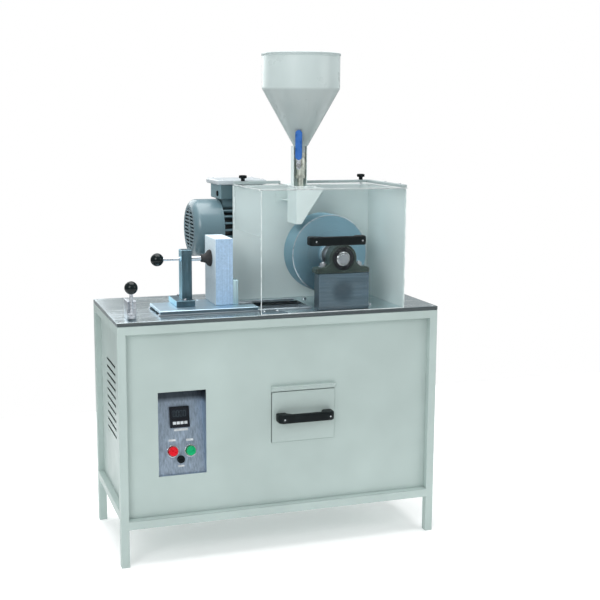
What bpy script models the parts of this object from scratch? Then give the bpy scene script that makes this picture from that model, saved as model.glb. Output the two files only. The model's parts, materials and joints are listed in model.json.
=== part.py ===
"""Wide wheel abrasion tester: a bench cabinet with a steel wheel that grinds paving specimens.

Run it with blender --background --python part.py, or from Blender's text editor. Lengths are in
metres. Machine coordinates: X to the right, Y backwards from the front of the frame, Z up from the
floor. An empty moves the whole machine so that the middle of its footprint is at the origin.
"""

import math

import bmesh
import bpy
from mathutils import Matrix, Vector

# Clearances
GAP = 0.0003
RUNNING_FIT = 0.0001
SHARP_ANGLE = math.radians(35)

# Cabinet
CABINET_WIDTH = 0.812
CABINET_DEPTH = 0.360
TABLE_TOP = 0.594
PLATE_THICKNESS = 0.010
TUBE = 0.020
END_RAIL_BOTTOM = 0.093
SIDE_RAIL_BOTTOM = 0.1153
SHEET = 0.002
PANEL_FACE = 0.017
SIDE_PANEL_SETBACK = 0.015
LOUVRE_COUNT = 10
LOUVRE_PITCH = 0.0196
LOUVRE_TOP = 0.460
LOUVRE_HEIGHT = 0.007
LOUVRE_FRONT = 0.129
LOUVRE_REAR = 0.257
INLET_X = 0.300
INLET_Z = 0.165

# Control recess
RECESS_LEFT = -0.310
RECESS_RIGHT = -0.193
RECESS_BOTTOM = 0.212
RECESS_TOP = 0.4184
RECESS_DEPTH = 0.026
PANEL_TILT = math.radians(12.5)
CONTROL_BOX_REAR = 0.125
COUNTER_SPOT = (-0.2508, 0.1368)
STOP_SPOT = (-0.2716, 0.0555)
START_SPOT = (-0.2283, 0.0540)
FUSE_SPOT = (-0.2524, 0.0345)

# Drawer
DRAWER_LEFT = -0.028
DRAWER_RIGHT = 0.1354
DRAWER_BOTTOM = 0.2716
DRAWER_TOP = 0.398
DRAWER_FACE = 0.0140
DRAWER_REAR = 0.300
DRAWER_MARGIN = 0.001
LIP_TOP = 0.413
LIP_REACH = 0.009
HANDLE_LENGTH = 0.145
HANDLE_REACH = 0.035
HANDLE_HEIGHT = 0.0218
DRAWER_HANDLE_SPOT = (0.0537, 0.336)
GUARD_HANDLE_SPOT = (0.126, 0.7705)

# Slot for the used abrasive
SLOT_LEFT = -0.030
SLOT_RIGHT = 0.095
SLOT_FRONT = 0.072
SLOT_REAR = 0.188
FUNNEL_BOTTOM = 0.402

# Wheel and drive
WHEEL_X = 0.156
WHEEL_Z = 0.721
WHEEL_RADIUS = 0.100
WHEEL_FRONT = 0.114
WHEEL_REAR = 0.184
SHAFT_FRONT = 0.012
SHAFT_REAR = 0.374
SHAFT_RADIUS = 0.0125
WHEEL_SEAT_RADIUS = 0.015
BLOCK_LEFT = 0.093
BLOCK_RIGHT = 0.225
BLOCK_FRONT = 0.018
BLOCK_REAR = 0.054
BLOCK_TOP = 0.685
BEARING_RING_RADIUS = 0.017
BEARING_SEAT_RADIUS = 0.029
PILLOW_LENGTH = 0.140
PILLOW_RADIUS = 0.0355
GEARBOX_FRONT = 0.274
GEARBOX_REAR = 0.370
MOTOR_Y = 0.320
MOTOR_Z = 0.775
MOTOR_LEFT = -0.082
MOTOR_RIGHT = 0.0977
MOTOR_RADIUS = 0.070
MOTOR_FINS = 24
ROTOR_BORE = 0.036
COWL_LEFT = -0.160
COWL_RADIUS = 0.076
GRILLE_RADIUS = 0.0545
GEAR_TEETH = 24
LEAD_RADIUS = 0.0035
LEAD_BEND = 0.081
LEAD_HOLE = (-0.065, 0.328)
CONTROL_ENTRY = (-0.250, 0.105)
TERMINAL_LEFT = -0.087
TERMINAL_RIGHT = 0.028
TERMINAL_FRONT = 0.268
TERMINAL_REAR = 0.374
TERMINAL_BOTTOM = 0.8525
TERMINAL_TOP = 0.891
GLAND_SPOT = (-0.030, 0.868)
GLAND_LENGTH = 0.012

# Guard
GUARD_LEFT = -0.063
GUARD_RIGHT = 0.313
GUARD_REAR = 0.240
GUARD_TOP = 0.890
PANE = 0.003
LEFT_PANE_BOTTOM = 0.780
LID_SHEET_TOP = 0.894
LID_TOP = 0.901
LID_RAIL = 0.0155
LID_SLOT = (0.062, 0.113, 0.105)
KNOB_SPOTS = {"left": -0.038, "right": 0.286}
KNOB_Y = 0.234

# Abrasive feed
HOPPER_X = 0.0885
HOPPER_Y = 0.150
HOPPER_RADIUS = 0.097
HOPPER_WALL = 0.0015
HOPPER_TOP = 1.218
HOPPER_SHOULDER = 1.132
CONE_BOTTOM = 0.9923
NECK_RADIUS = 0.012
COLUMN_X = 0.087
COLUMN_WIDTH = 0.0365
VALVE_Z = 0.945
VALVE_TURN = math.radians(-25)
LEVER_REACH = 0.047
CHUTE_LEFT = 0.066
CHUTE_OUTLET = 0.080
CHUTE_RIGHT = 0.139
CHUTE_BOTTOM = 0.799
CHUTE_TOP = 0.888

# Trolley and clamp
TRACK_THICKNESS = 0.004
TROLLEY_BOTTOM = 0.5986
TROLLEY_TOP = 0.606
TROLLEY_TRAVEL = 0.157
TROLLEY_LEFT = -0.293
TROLLEY_FRONT = 0.055
TONGUE_LEFT = -0.289
TONGUE_RIGHT = -0.277
TONGUE_FRONT = 0.130
TONGUE_REAR = 0.138
SPECIMEN_LEFT = -0.146
SPECIMEN_RIGHT = -0.101
SPECIMEN_FRONT = 0.100
SPECIMEN_REAR = 0.205
SPECIMEN_TOP = 0.770
CLAMP_Y = 0.149
CLAMP_Z = 0.718
CLAMP_BALL_X = -0.280
CLAMP_BALL_RADIUS = 0.016
SPINDLE_RADIUS = 0.006
SPINDLE_END = -0.1605

# Lock lever
LOCK_X = -0.368
LOCK_Z = 0.606
LOCK_BALL_Z = 0.6716
LOCK_BALL_RADIUS = 0.0155

# Counterweight drive under the table
CABLE_Y = 0.220
CABLE_Z = 0.559
CABLE_RADIUS = 0.0015
PULLEY_X = 0.300
PULLEY_RADIUS = 0.025
WEIGHT_RADIUS = 0.055
WEIGHT_BOTTOM = 0.285
WEIGHT_TOP = 0.473
WEIGHT_EYE_TOP = 0.485

HALF_WIDTH = CABINET_WIDTH / 2
PLATE_UNDERSIDE = TABLE_TOP - PLATE_THICKNESS
PULLEY_Z = CABLE_Z - PULLEY_RADIUS
REAR_MOST = MOTOR_Y + LEAD_BEND + LEAD_RADIUS
FRONT_MOST = -HANDLE_REACH
FRAME_FRONT_Y = -(REAR_MOST + FRONT_MOST) / 2

# Base colour, roughness and metallic value of each finish
FINISHES = {
    "cabinet_paint": ((0.50, 0.56, 0.53), 0.45, 0.0),
    "bright_steel": ((0.55, 0.60, 0.66), 0.30, 1.0),
    "ground_steel": ((0.36, 0.40, 0.45), 0.40, 1.0),
    "grey_enamel": ((0.20, 0.26, 0.29), 0.35, 0.0),
    "cast_iron": ((0.07, 0.09, 0.08), 0.60, 0.3),
    "panel_aluminium": ((0.42, 0.49, 0.55), 0.40, 0.9),
    "black_plastic": ((0.015, 0.016, 0.018), 0.30, 0.0),
    "black_rubber": ((0.02, 0.02, 0.02), 0.75, 0.0),
    "red_plastic": ((0.60, 0.02, 0.02), 0.30, 0.0),
    "green_plastic": ((0.02, 0.35, 0.12), 0.30, 0.0),
    "blue_vinyl": ((0.02, 0.10, 0.45), 0.35, 0.0),
    "brass": ((0.60, 0.45, 0.20), 0.35, 1.0),
    "bronze": ((0.55, 0.33, 0.12), 0.40, 1.0),
    "chrome": ((0.75, 0.76, 0.78), 0.12, 1.0),
    "clear_acrylic": ((0.85, 0.92, 0.95), 0.05, 0.0),
    "concrete": ((0.62, 0.68, 0.76), 0.80, 0.0),
    "wire_rope": ((0.30, 0.31, 0.32), 0.50, 1.0),
}


def clear_scene():
    for thing in list(bpy.data.objects):
        bpy.data.objects.remove(thing, do_unlink=True)


def empty(name, location=(0, 0, 0), parent=None, rotation=(0, 0, 0)):
    """A frame of reference for the pieces that belong together."""
    frame = bpy.data.objects.new(name, None)
    frame.location = location
    frame.rotation_euler = rotation
    frame.parent = parent
    frame.empty_display_size = 0.02
    bpy.context.scene.collection.objects.link(frame)
    return frame


# Shapes. Each of these returns a bmesh.


def soften(shape, width, segments=1):
    """Bevels every edge where two faces meet at more than 40 degrees."""
    corner = math.radians(40)
    sharp = [e for e in shape.edges if len(e.link_faces) == 2 and e.calc_face_angle() > corner]
    bmesh.ops.bevel(shape, geom=sharp, offset=width, segments=segments, affect="EDGES", profile=0.5)
    return shape


def block(low, high, bevel=0.0):
    shape = bmesh.new()
    bmesh.ops.create_cube(shape, size=1.0)
    size = Vector(high) - Vector(low)
    middle = (Vector(high) + Vector(low)) / 2
    matrix = Matrix.Translation(middle) @ Matrix.Diagonal(size.to_4d())
    bmesh.ops.transform(shape, matrix=matrix, verts=shape.verts)
    return soften(shape, bevel) if bevel else shape


def prism(outline, axis, start, end, bevel=0.0):
    """An outline in the two other axes, in X, Y, Z order, extruded along axis from start to end."""
    place = {
        "X": lambda u, v: (start, u, v),
        "Y": lambda u, v: (u, start, v),
        "Z": lambda u, v: (u, v, start),
    }[axis]
    travel = {"X": (end - start, 0, 0), "Y": (0, end - start, 0), "Z": (0, 0, end - start)}[axis]
    shape = bmesh.new()
    face = shape.faces.new([shape.verts.new(place(u, v)) for u, v in outline])
    extruded = bmesh.ops.extrude_face_region(shape, geom=[face])["geom"]
    moved = [v for v in extruded if isinstance(v, bmesh.types.BMVert)]
    bmesh.ops.translate(shape, verts=moved, vec=travel)
    bmesh.ops.recalc_face_normals(shape, faces=shape.faces)
    return soften(shape, bevel) if bevel else shape


def circle(centre, radius, steps=32, start=0.0, sweep=2 * math.pi):
    """Points round a circle, or along an arc of it with both its ends."""
    count = steps if sweep >= 2 * math.pi else steps + 1
    angles = [start + sweep * i / steps for i in range(count)]
    return [(centre[0] + radius * math.cos(a), centre[1] + radius * math.sin(a)) for a in angles]


def rod(axis, centre, radius, start, end, steps=32, bevel=0.0):
    """A round bar along axis; centre is its place in the two other axes."""
    return prism(circle(centre, radius, steps), axis, start, end, bevel)


def turned(axis, centre, profile, steps=32):
    """A closed profile of (distance along axis, radius) points, spun round the axis."""
    shape = bmesh.new()
    place = {
        "X": lambda along, r: (along, centre[0] + r, centre[1]),
        "Y": lambda along, r: (centre[0] + r, along, centre[1]),
        "Z": lambda along, r: (centre[0] + r, centre[1], along),
    }[axis]
    middle = {
        "X": (0, centre[0], centre[1]),
        "Y": (centre[0], 0, centre[1]),
        "Z": (centre[0], centre[1], 0),
    }[axis]
    direction = {"X": (1, 0, 0), "Y": (0, 1, 0), "Z": (0, 0, 1)}[axis]
    ring = [shape.verts.new(place(along, r)) for along, r in profile]
    edges = [shape.edges.new((a, b)) for a, b in zip(ring, ring[1:] + ring[:1])]
    bmesh.ops.spin(
        shape, geom=ring + edges, cent=middle, axis=direction, angle=2 * math.pi, steps=steps, use_merge=True
    )
    bmesh.ops.remove_doubles(shape, verts=shape.verts, dist=1e-6)
    bmesh.ops.recalc_face_normals(shape, faces=shape.faces)
    return shape


def loft(bottom, top):
    """A straight-sided solid between two rectangles (left, front, right, rear, height)."""
    shape = bmesh.new()
    rings = []
    for left, front, right, rear, height in (bottom, top):
        corners = ((left, front), (right, front), (right, rear), (left, rear))
        rings.append([shape.verts.new((x, y, height)) for x, y in corners])
    shape.faces.new(rings[0])
    shape.faces.new(rings[1])
    for i in range(4):
        j = (i + 1) % 4
        shape.faces.new((rings[0][i], rings[0][j], rings[1][j], rings[1][i]))
    bmesh.ops.recalc_face_normals(shape, faces=shape.faces)
    return shape


def ball_profile(centre, radius, steps, socket_radius=0.0, socket_end=None):
    """Half of a ball, from its low end to its high end, with an optional socket in the high end."""
    first_stop = math.asin(socket_radius / radius)
    points = []
    for i in range(steps + 1):
        angle = math.pi - (math.pi - first_stop) * i / steps
        points.append((centre + radius * math.cos(angle), max(radius * math.sin(angle), 0.0)))
    if socket_end is not None:
        points += [(socket_end, socket_radius), (socket_end, 0.0)]
    return points


def moved(shape, matrix):
    bmesh.ops.transform(shape, matrix=matrix, verts=shape.verts)
    return shape


# Objects


def finish(name, kind):
    colour, roughness, metallic = FINISHES[kind]
    material = bpy.data.materials.new(name)
    material.use_nodes = True
    shader = material.node_tree.nodes["Principled BSDF"]
    shader.inputs["Base Color"].default_value = (*colour, 1.0)
    shader.inputs["Roughness"].default_value = roughness
    shader.inputs["Metallic"].default_value = metallic
    if kind == "clear_acrylic":
        shader.inputs["Alpha"].default_value = 0.35
    return material


def mesh_from(name, shape, origin=(0, 0, 0)):
    """The shape as a mesh whose own origin is at this machine point."""
    moved(shape, Matrix.Translation(-Vector(origin)))
    mesh = bpy.data.meshes.new(name)
    shape.to_mesh(mesh)
    shape.free()
    mesh.shade_smooth()
    mesh.set_sharp_from_angle(angle=SHARP_ANGLE)
    return mesh


def helpers_collection(name):
    group = bpy.data.collections.new(name)
    group.hide_render = True
    bpy.context.scene.collection.children.link(group)
    return group


def boolean(piece, operation, shapes, origin=(0, 0, 0)):
    """Unites the shapes with the piece, or cuts them from it, through hidden helper objects."""
    name = f"{piece.name}_{operation.lower()}_{len(piece.modifiers)}"
    group = helpers_collection(name)
    for number, shape in enumerate(shapes):
        helper = bpy.data.objects.new(f"{name}_{number}", mesh_from(name, shape, origin))
        helper.hide_render = True
        helper.display_type = "WIRE"
        helper.location = piece.location
        helper.parent = piece.parent
        group.objects.link(helper)
    modifier = piece.modifiers.new(operation.title(), "BOOLEAN")
    modifier.operation = operation
    modifier.solver = "EXACT"
    modifier.operand_type = "COLLECTION"
    modifier.collection = group


def part(name, kind, shape, unite=(), cut=(), parent=None, origin=(0, 0, 0)):
    """A named sub-part. origin is the machine point that its own origin stands on."""
    offset = Vector(origin)
    piece = bpy.data.objects.new(name, mesh_from(name, shape, offset))
    piece.data.materials.append(finish(name, kind))
    piece.parent = parent or machine
    piece.location = offset
    bpy.context.scene.collection.objects.link(piece)
    if unite:
        boolean(piece, "UNION", unite, offset)
    if cut:
        boolean(piece, "DIFFERENCE", cut, offset)
    return piece


def tube(name, kind, points, radius, resolution=2, parent=None):
    """A cord along a smooth curve through the points."""
    route = smooth_route([Vector(p) for p in points], radius * 5)
    curve = bpy.data.curves.new(name, "CURVE")
    curve.dimensions = "3D"
    curve.bevel_depth = radius
    curve.bevel_resolution = resolution
    curve.use_fill_caps = True
    spline = curve.splines.new("POLY")
    spline.points.add(len(route) - 1)
    for target, point in zip(spline.points, route):
        target.co = (*point, 1.0)
    cord = bpy.data.objects.new(name, curve)
    cord.data.materials.append(finish(name, kind))
    cord.parent = parent or machine
    bpy.context.scene.collection.objects.link(cord)
    return cord


def smooth_route(points, spacing):
    """Points about this far apart along a Catmull-Rom curve through the given ones."""
    padded = [2 * points[0] - points[1], *points, 2 * points[-1] - points[-2]]
    route = []
    for a, b, c, d in zip(padded, padded[1:], padded[2:], padded[3:]):
        steps = max(1, round((c - b).length / spacing))
        for i in range(steps):
            t = i / steps
            line = 2 * b + (c - a) * t
            bend = (2 * a - 5 * b + 4 * c - d) * t**2
            twist = (3 * b - a - 3 * c + d) * t**3
            route.append((line + bend + twist) / 2)
    return route + [points[-1]]


# Cabinet


def base_frame():
    inner = HALF_WIDTH - TUBE
    rear = CABINET_DEPTH - TUBE
    top = PLATE_UNDERSIDE - TUBE
    far = HALF_WIDTH + TUBE
    whole = block((-HALF_WIDTH, 0, 0), (HALF_WIDTH, CABINET_DEPTH, PLATE_UNDERSIDE))
    cuts = [
        block((-inner, TUBE, -TUBE), (inner, rear, PLATE_UNDERSIDE + TUBE)),
        block((-inner, -TUBE, END_RAIL_BOTTOM + TUBE), (inner, CABINET_DEPTH + TUBE, top)),
        block((-inner, -TUBE, -TUBE), (inner, CABINET_DEPTH + TUBE, END_RAIL_BOTTOM)),
        block((-far, TUBE, SIDE_RAIL_BOTTOM + TUBE), (far, rear, top)),
        block((-far, TUBE, -TUBE), (far, rear, SIDE_RAIL_BOTTOM)),
    ]
    part("base_frame", "cabinet_paint", whole, cut=cuts)


def table_plate():
    low = (-HALF_WIDTH, 0, PLATE_UNDERSIDE + GAP)
    plate = block(low, (HALF_WIDTH, CABINET_DEPTH, TABLE_TOP), bevel=0.0008)
    under = PLATE_UNDERSIDE - TUBE
    over = TABLE_TOP + TUBE
    margin = 0.003
    tongue_end = TONGUE_RIGHT + TROLLEY_TRAVEL + margin
    cuts = [
        block((SLOT_LEFT, SLOT_FRONT, under), (SLOT_RIGHT, SLOT_REAR, over)),
        block((TONGUE_LEFT - margin, TONGUE_FRONT - 0.002, under), (tongue_end, TONGUE_REAR + 0.002, over)),
        rod("Z", LEAD_HOLE, LEAD_RADIUS + 0.002, under, over, steps=16),
    ]
    part("table_plate", "bright_steel", plate, cut=cuts)


def front_panel():
    edge = HALF_WIDTH - TUBE - GAP
    top = PLATE_UNDERSIDE - TUBE - GAP
    sheet = block((-edge, PANEL_FACE, SIDE_RAIL_BOTTOM), (edge, PANEL_FACE + SHEET, top))
    margin = DRAWER_MARGIN
    lip = [
        (PANEL_FACE + 0.001, LIP_TOP),
        (PANEL_FACE - LIP_REACH, LIP_TOP),
        (PANEL_FACE - LIP_REACH, LIP_TOP - SHEET),
        (PANEL_FACE, DRAWER_TOP + 0.0013),
        (PANEL_FACE + 0.001, DRAWER_TOP + 0.0013),
    ]
    cuts = [
        block((RECESS_LEFT, 0, RECESS_BOTTOM), (RECESS_RIGHT, 2 * PANEL_FACE, RECESS_TOP)),
        block(
            (DRAWER_LEFT - margin, 0.0005, DRAWER_BOTTOM - margin),
            (DRAWER_RIGHT + margin, 2 * PANEL_FACE, DRAWER_TOP + margin),
        ),
    ]
    part(
        "front_panel",
        "cabinet_paint",
        sheet,
        unite=[prism(lip, "X", DRAWER_LEFT - margin, DRAWER_RIGHT + margin)],
        cut=cuts,
    )


def side_panel(name, side):
    outer = HALF_WIDTH - SIDE_PANEL_SETBACK
    xs = sorted((side * outer, side * (outer - SHEET)))
    front = TUBE + GAP
    bottom = SIDE_RAIL_BOTTOM + TUBE + GAP
    rear = CABINET_DEPTH - TUBE - GAP
    sheet = block((xs[0], front, bottom), (xs[1], rear, PLATE_UNDERSIDE - TUBE - GAP))
    slots = []
    for i in range(LOUVRE_COUNT):
        z = LOUVRE_TOP - i * LOUVRE_PITCH
        slots.append(
            block(
                (xs[0] - SHEET, LOUVRE_FRONT, z - LOUVRE_HEIGHT / 2),
                (xs[1] + SHEET, LOUVRE_REAR, z + LOUVRE_HEIGHT / 2),
            )
        )
    part(name, "cabinet_paint", sheet, cut=slots)


def back_panel():
    edge = HALF_WIDTH - TUBE - GAP
    front = CABINET_DEPTH - PANEL_FACE - SHEET
    low = (-edge, front, SIDE_RAIL_BOTTOM)
    sheet = block(low, (edge, front + SHEET, PLATE_UNDERSIDE - TUBE - GAP))
    hole = inlet_block(0.0245, 0.0145, front - TUBE, front + TUBE)
    part("back_panel", "cabinet_paint", sheet, cut=[hole])


def floor_panel():
    edge = HALF_WIDTH - TUBE - GAP
    low = (-edge, SHEET, END_RAIL_BOTTOM + TUBE + GAP)
    high = (edge, CABINET_DEPTH - SHEET, SIDE_RAIL_BOTTOM - GAP)
    part("floor_panel", "cabinet_paint", block(low, high))


def mains_inlet():
    """An appliance inlet in the back panel."""
    wall = CABINET_DEPTH - PANEL_FACE
    flange = inlet_block(0.030, 0.018, wall + GAP, wall + 0.004, bevel=0.001)
    case = inlet_block(0.024, 0.014, wall - 0.024, wall + 0.001)
    socket = inlet_block(0.013, 0.009, wall - 0.018, wall + 0.010)
    part("mains_inlet", "black_plastic", flange, unite=[case], cut=[socket])


def inlet_block(half_width, half_height, front, rear, bevel=0.0):
    low = (INLET_X - half_width, front, INLET_Z - half_height)
    high = (INLET_X + half_width, rear, INLET_Z + half_height)
    return block(low, high, bevel)


# Control recess


def tilted_panel_empty():
    """Its X and Y run along the control panel and its Z points out of it."""
    rotation = (math.pi / 2 - PANEL_TILT, 0, 0)
    return empty("control_panel_face", (0, RECESS_DEPTH, RECESS_BOTTOM), machine, rotation)


def panel_matrix():
    place = Matrix.Translation((0, RECESS_DEPTH, RECESS_BOTTOM))
    return place @ Matrix.Rotation(math.pi / 2 - PANEL_TILT, 4, "X")


def control_pan():
    """The recessed control panel with the box behind it that holds the electrics."""
    wall = SHEET
    front = PANEL_FACE + SHEET + GAP
    reach = 0.016
    box_low = (RECESS_LEFT - reach, front, RECESS_BOTTOM - wall - 0.010)
    box_high = (RECESS_RIGHT + reach, CONTROL_BOX_REAR, RECESS_TOP + wall + 0.010)
    inner_low = [a + wall for a in box_low]
    inner_high = [a - wall for a in box_high]
    slope = math.tan(PANEL_TILT) * (RECESS_TOP - RECESS_BOTTOM)
    thickness = wall / math.cos(PANEL_TILT)
    recess = [
        (0.0, RECESS_BOTTOM),
        (RECESS_DEPTH, RECESS_BOTTOM),
        (RECESS_DEPTH + slope, RECESS_TOP),
        (0.0, RECESS_TOP),
    ]
    extra = wall * math.tan(PANEL_TILT)
    shroud = [
        (front, RECESS_BOTTOM - wall),
        (RECESS_DEPTH + thickness - extra, RECESS_BOTTOM - wall),
        (RECESS_DEPTH + slope + thickness + extra, RECESS_TOP + wall),
        (front, RECESS_TOP + wall),
    ]
    tilt = panel_matrix()
    holes = [moved(prism(square_at(COUNTER_SPOT, 0.0224), "Z", -0.01, 0.01), tilt)]
    holes.append(moved(rod("Z", STOP_SPOT, 0.0114, -0.01, 0.01, steps=20), tilt))
    holes.append(moved(rod("Z", START_SPOT, 0.0114, -0.01, 0.01, steps=20), tilt))
    holes.append(moved(rod("Z", FUSE_SPOT, 0.0074, -0.01, 0.01, steps=16), tilt))
    entry = rod("Z", CONTROL_ENTRY, LEAD_RADIUS + 0.002, RECESS_TOP, RECESS_TOP + 0.03, steps=16)
    pan = part(
        "control_pan",
        "panel_aluminium",
        block(box_low, box_high),
        cut=[block(inner_low, inner_high)],
    )
    boolean(pan, "UNION", [prism(shroud, "X", RECESS_LEFT - wall, RECESS_RIGHT + wall)])
    boolean(pan, "DIFFERENCE", [prism(recess, "X", RECESS_LEFT, RECESS_RIGHT), entry, *holes])


def square_at(spot, half):
    return [
        (spot[0] - half, spot[1] - half),
        (spot[0] + half, spot[1] - half),
        (spot[0] + half, spot[1] + half),
        (spot[0] - half, spot[1] + half),
    ]


def revolution_counter(face):
    x, along = COUNTER_SPOT
    bezel = block((x - 0.024, along - 0.0255, GAP), (x + 0.024, along + 0.0255, 0.008), bevel=0.0012)
    case = block((x - 0.022, along - 0.022, -0.058), (x + 0.022, along + 0.022, 0.002))
    window = block((x - 0.0195, along - 0.003, 0.0068), (x + 0.0195, along + 0.0205, 0.02))
    part("revolution_counter", "black_plastic", bezel, unite=[case], cut=[window], parent=face)


def push_button(name, spot, kind, face):
    """A bezel with a barrel through the panel, and the cap that moves inside it."""
    bezel = turned(
        "Z",
        spot,
        [(-0.025, 0.0072), (-0.025, 0.011), (GAP, 0.011), (GAP, 0.015), (0.0040, 0.015), (0.005, 0.014)]
        + [(0.005, 0.012), (0.0015, 0.012), (0.0015, 0.0072)],
        steps=20,
    )
    part(f"{name}_button_bezel", "chrome", bezel, parent=face)
    origin = (spot[0], spot[1], 0.006)
    cap = turned(
        "Z",
        spot,
        [(-0.020, 0.0), (-0.020, 0.0069), (0.006, 0.0069), (0.006, 0.0115), (0.0118, 0.0115)]
        + [(0.0130, 0.0103), (0.0134, 0.0055), (0.0135, 0.0)],
        steps=20,
    )
    part(f"{name}_button_cap", kind, cap, parent=face, origin=origin)


def fuse_parts(face):
    holder = [(-0.028, 0.0052), (-0.028, 0.007), (GAP, 0.007)]
    holder += [(GAP, 0.0095), (0.0028, 0.0095), (0.0028, 0.0052)]
    part("fuse_holder", "black_plastic", turned("Z", FUSE_SPOT, holder, steps=20), parent=face)
    cap = [(-0.015, 0.0), (-0.015, 0.005), (0.0031, 0.005), (0.0031, 0.0083)]
    cap += [(0.011, 0.0079), (0.012, 0.0068), (0.012, 0.0)]
    slot = block(
        (FUSE_SPOT[0] - 0.0055, FUSE_SPOT[1] - 0.0009, 0.0105),
        (FUSE_SPOT[0] + 0.0055, FUSE_SPOT[1] + 0.0009, 0.02),
    )
    origin = (FUSE_SPOT[0], FUSE_SPOT[1], 0.0031)
    shape = turned("Z", FUSE_SPOT, cap, steps=20)
    part("fuse_cap", "black_plastic", shape, cut=[slot], parent=face, origin=origin)


# Drawer


def drawer():
    side = 0.002
    face = block(
        (DRAWER_LEFT, DRAWER_FACE, DRAWER_BOTTOM),
        (DRAWER_RIGHT, DRAWER_FACE + 0.0025, DRAWER_TOP),
        bevel=0.0006,
    )
    outer = block(
        (DRAWER_LEFT + side, DRAWER_FACE + 0.002, DRAWER_BOTTOM),
        (DRAWER_RIGHT - side, DRAWER_REAR, 0.385),
    )
    wall = 0.0015
    inner = block(
        (DRAWER_LEFT + side + wall, DRAWER_FACE + 0.004, DRAWER_BOTTOM + wall),
        (DRAWER_RIGHT - side - wall, DRAWER_REAR - wall, 0.42),
    )
    origin = (DRAWER_HANDLE_SPOT[0], DRAWER_FACE, DRAWER_BOTTOM)
    part("drawer_tray", "cabinet_paint", face, unite=[outer], cut=[inner], origin=origin)


def drawer_cradle():
    wall = SHEET
    side = 0.003
    left = DRAWER_LEFT - side + wall
    right = DRAWER_RIGHT + side - wall
    floor = DRAWER_BOTTOM - GAP
    height = 0.330
    outline = [
        (left - wall, floor - wall),
        (right + wall, floor - wall),
        (right + wall, height),
        (right, height),
        (right, floor),
        (left, floor),
        (left, height),
        (left - wall, height),
    ]
    front = PANEL_FACE + SHEET + GAP
    rear = CABINET_DEPTH - front
    part("drawer_cradle", "bright_steel", prism(outline, "Y", front, rear))


def slot_funnel():
    wall = 0.0015
    top = PLATE_UNDERSIDE - GAP
    slope = 0.006
    outer_top = (SLOT_LEFT - slope, SLOT_FRONT - slope, SLOT_RIGHT + slope, SLOT_REAR + slope, top)
    outer_bottom = (0.004, 0.090, 0.104, 0.178, FUNNEL_BOTTOM)
    outer = loft(outer_bottom, outer_top)
    inner = loft(shrunk(outer_bottom, wall, -0.0001), shrunk(outer_top, wall, 0.0001))
    part("slot_funnel", "bright_steel", outer, cut=[inner])


def shrunk(rectangle, wall, lift):
    left, front, right, rear, height = rectangle
    return (left + wall, front + wall, right - wall, rear - wall, height + lift)


def bow_handle():
    """A moulded bridge handle on the plane Y = 0, with its grip towards -Y."""
    half = HANDLE_LENGTH / 2
    foot = 0.026
    grip = 0.013
    outer = [
        (-half, -GAP),
        (-half, -HANDLE_REACH + 0.012),
        (-half + 0.004, -HANDLE_REACH + 0.004),
        (-half + 0.012, -HANDLE_REACH),
        (half - 0.012, -HANDLE_REACH),
        (half - 0.004, -HANDLE_REACH + 0.004),
        (half, -HANDLE_REACH + 0.012),
        (half, -GAP),
    ]
    inner = [
        (half - foot, -GAP),
        (half - foot - 0.002, -HANDLE_REACH + grip + 0.005),
        (half - foot - 0.009, -HANDLE_REACH + grip),
        (-half + foot + 0.009, -HANDLE_REACH + grip),
        (-half + foot + 0.002, -HANDLE_REACH + grip + 0.005),
        (-half + foot, -GAP),
    ]
    return prism(outer + inner, "Z", -HANDLE_HEIGHT / 2, HANDLE_HEIGHT / 2, bevel=0.0022)


def handles():
    mesh = mesh_from("bow_handle", bow_handle())
    mesh.materials.append(finish("bow_handle", "black_plastic"))
    spots = {
        "drawer_handle": (DRAWER_HANDLE_SPOT, DRAWER_FACE),
        "guard_handle": (GUARD_HANDLE_SPOT, 0.0),
    }
    for name, (spot, face) in spots.items():
        handle = bpy.data.objects.new(name, mesh)
        handle.location = (spot[0], face, spot[1])
        handle.parent = machine
        bpy.context.scene.collection.objects.link(handle)


# Guard


def guard_shield():
    """One folded sheet: the wall behind the wheel and the wall to its right."""
    rear = GUARD_REAR + SHEET
    right = GUARD_RIGHT - SHEET
    outline = [
        (GUARD_LEFT, GUARD_REAR),
        (right, GUARD_REAR),
        (right, PANE + 0.001),
        (GUARD_RIGHT, PANE + 0.001),
        (GUARD_RIGHT, rear),
        (GUARD_LEFT, rear),
    ]
    wall = prism(outline, "Z", TABLE_TOP + GAP, GUARD_TOP)
    flange = block(
        (GUARD_LEFT + 0.012, GUARD_REAR - 0.016, GUARD_TOP - SHEET),
        (right + 0.001, GUARD_REAR + 0.001, GUARD_TOP),
    )
    cuts = [rod("Y", (WHEEL_X, WHEEL_Z), 0.036, GUARD_REAR - TUBE, rear + TUBE, steps=32)]
    for x in KNOB_SPOTS.values():
        low = (x - 0.004, GUARD_REAR - 0.03, GUARD_TOP - 0.01)
        cuts.append(block(low, (x + 0.004, KNOB_Y + 0.004, GUARD_TOP + 0.01)))
    part("guard_shield", "cabinet_paint", wall, unite=[flange], cut=cuts)


def guard_pane():
    """Clear panes in front of the wheel and above the trolley, bonded at the corner."""
    top = GUARD_TOP + 0.0007
    front = block((GUARD_LEFT + PANE, 0, TABLE_TOP + GAP), (GUARD_RIGHT, PANE, top))
    left = block(
        (GUARD_LEFT + PANE, PANE / 2, LEFT_PANE_BOTTOM),
        (GUARD_LEFT + 2 * PANE, GUARD_REAR - 0.001, top),
    )
    part("guard_pane", "clear_acrylic", front, unite=[left])


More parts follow.
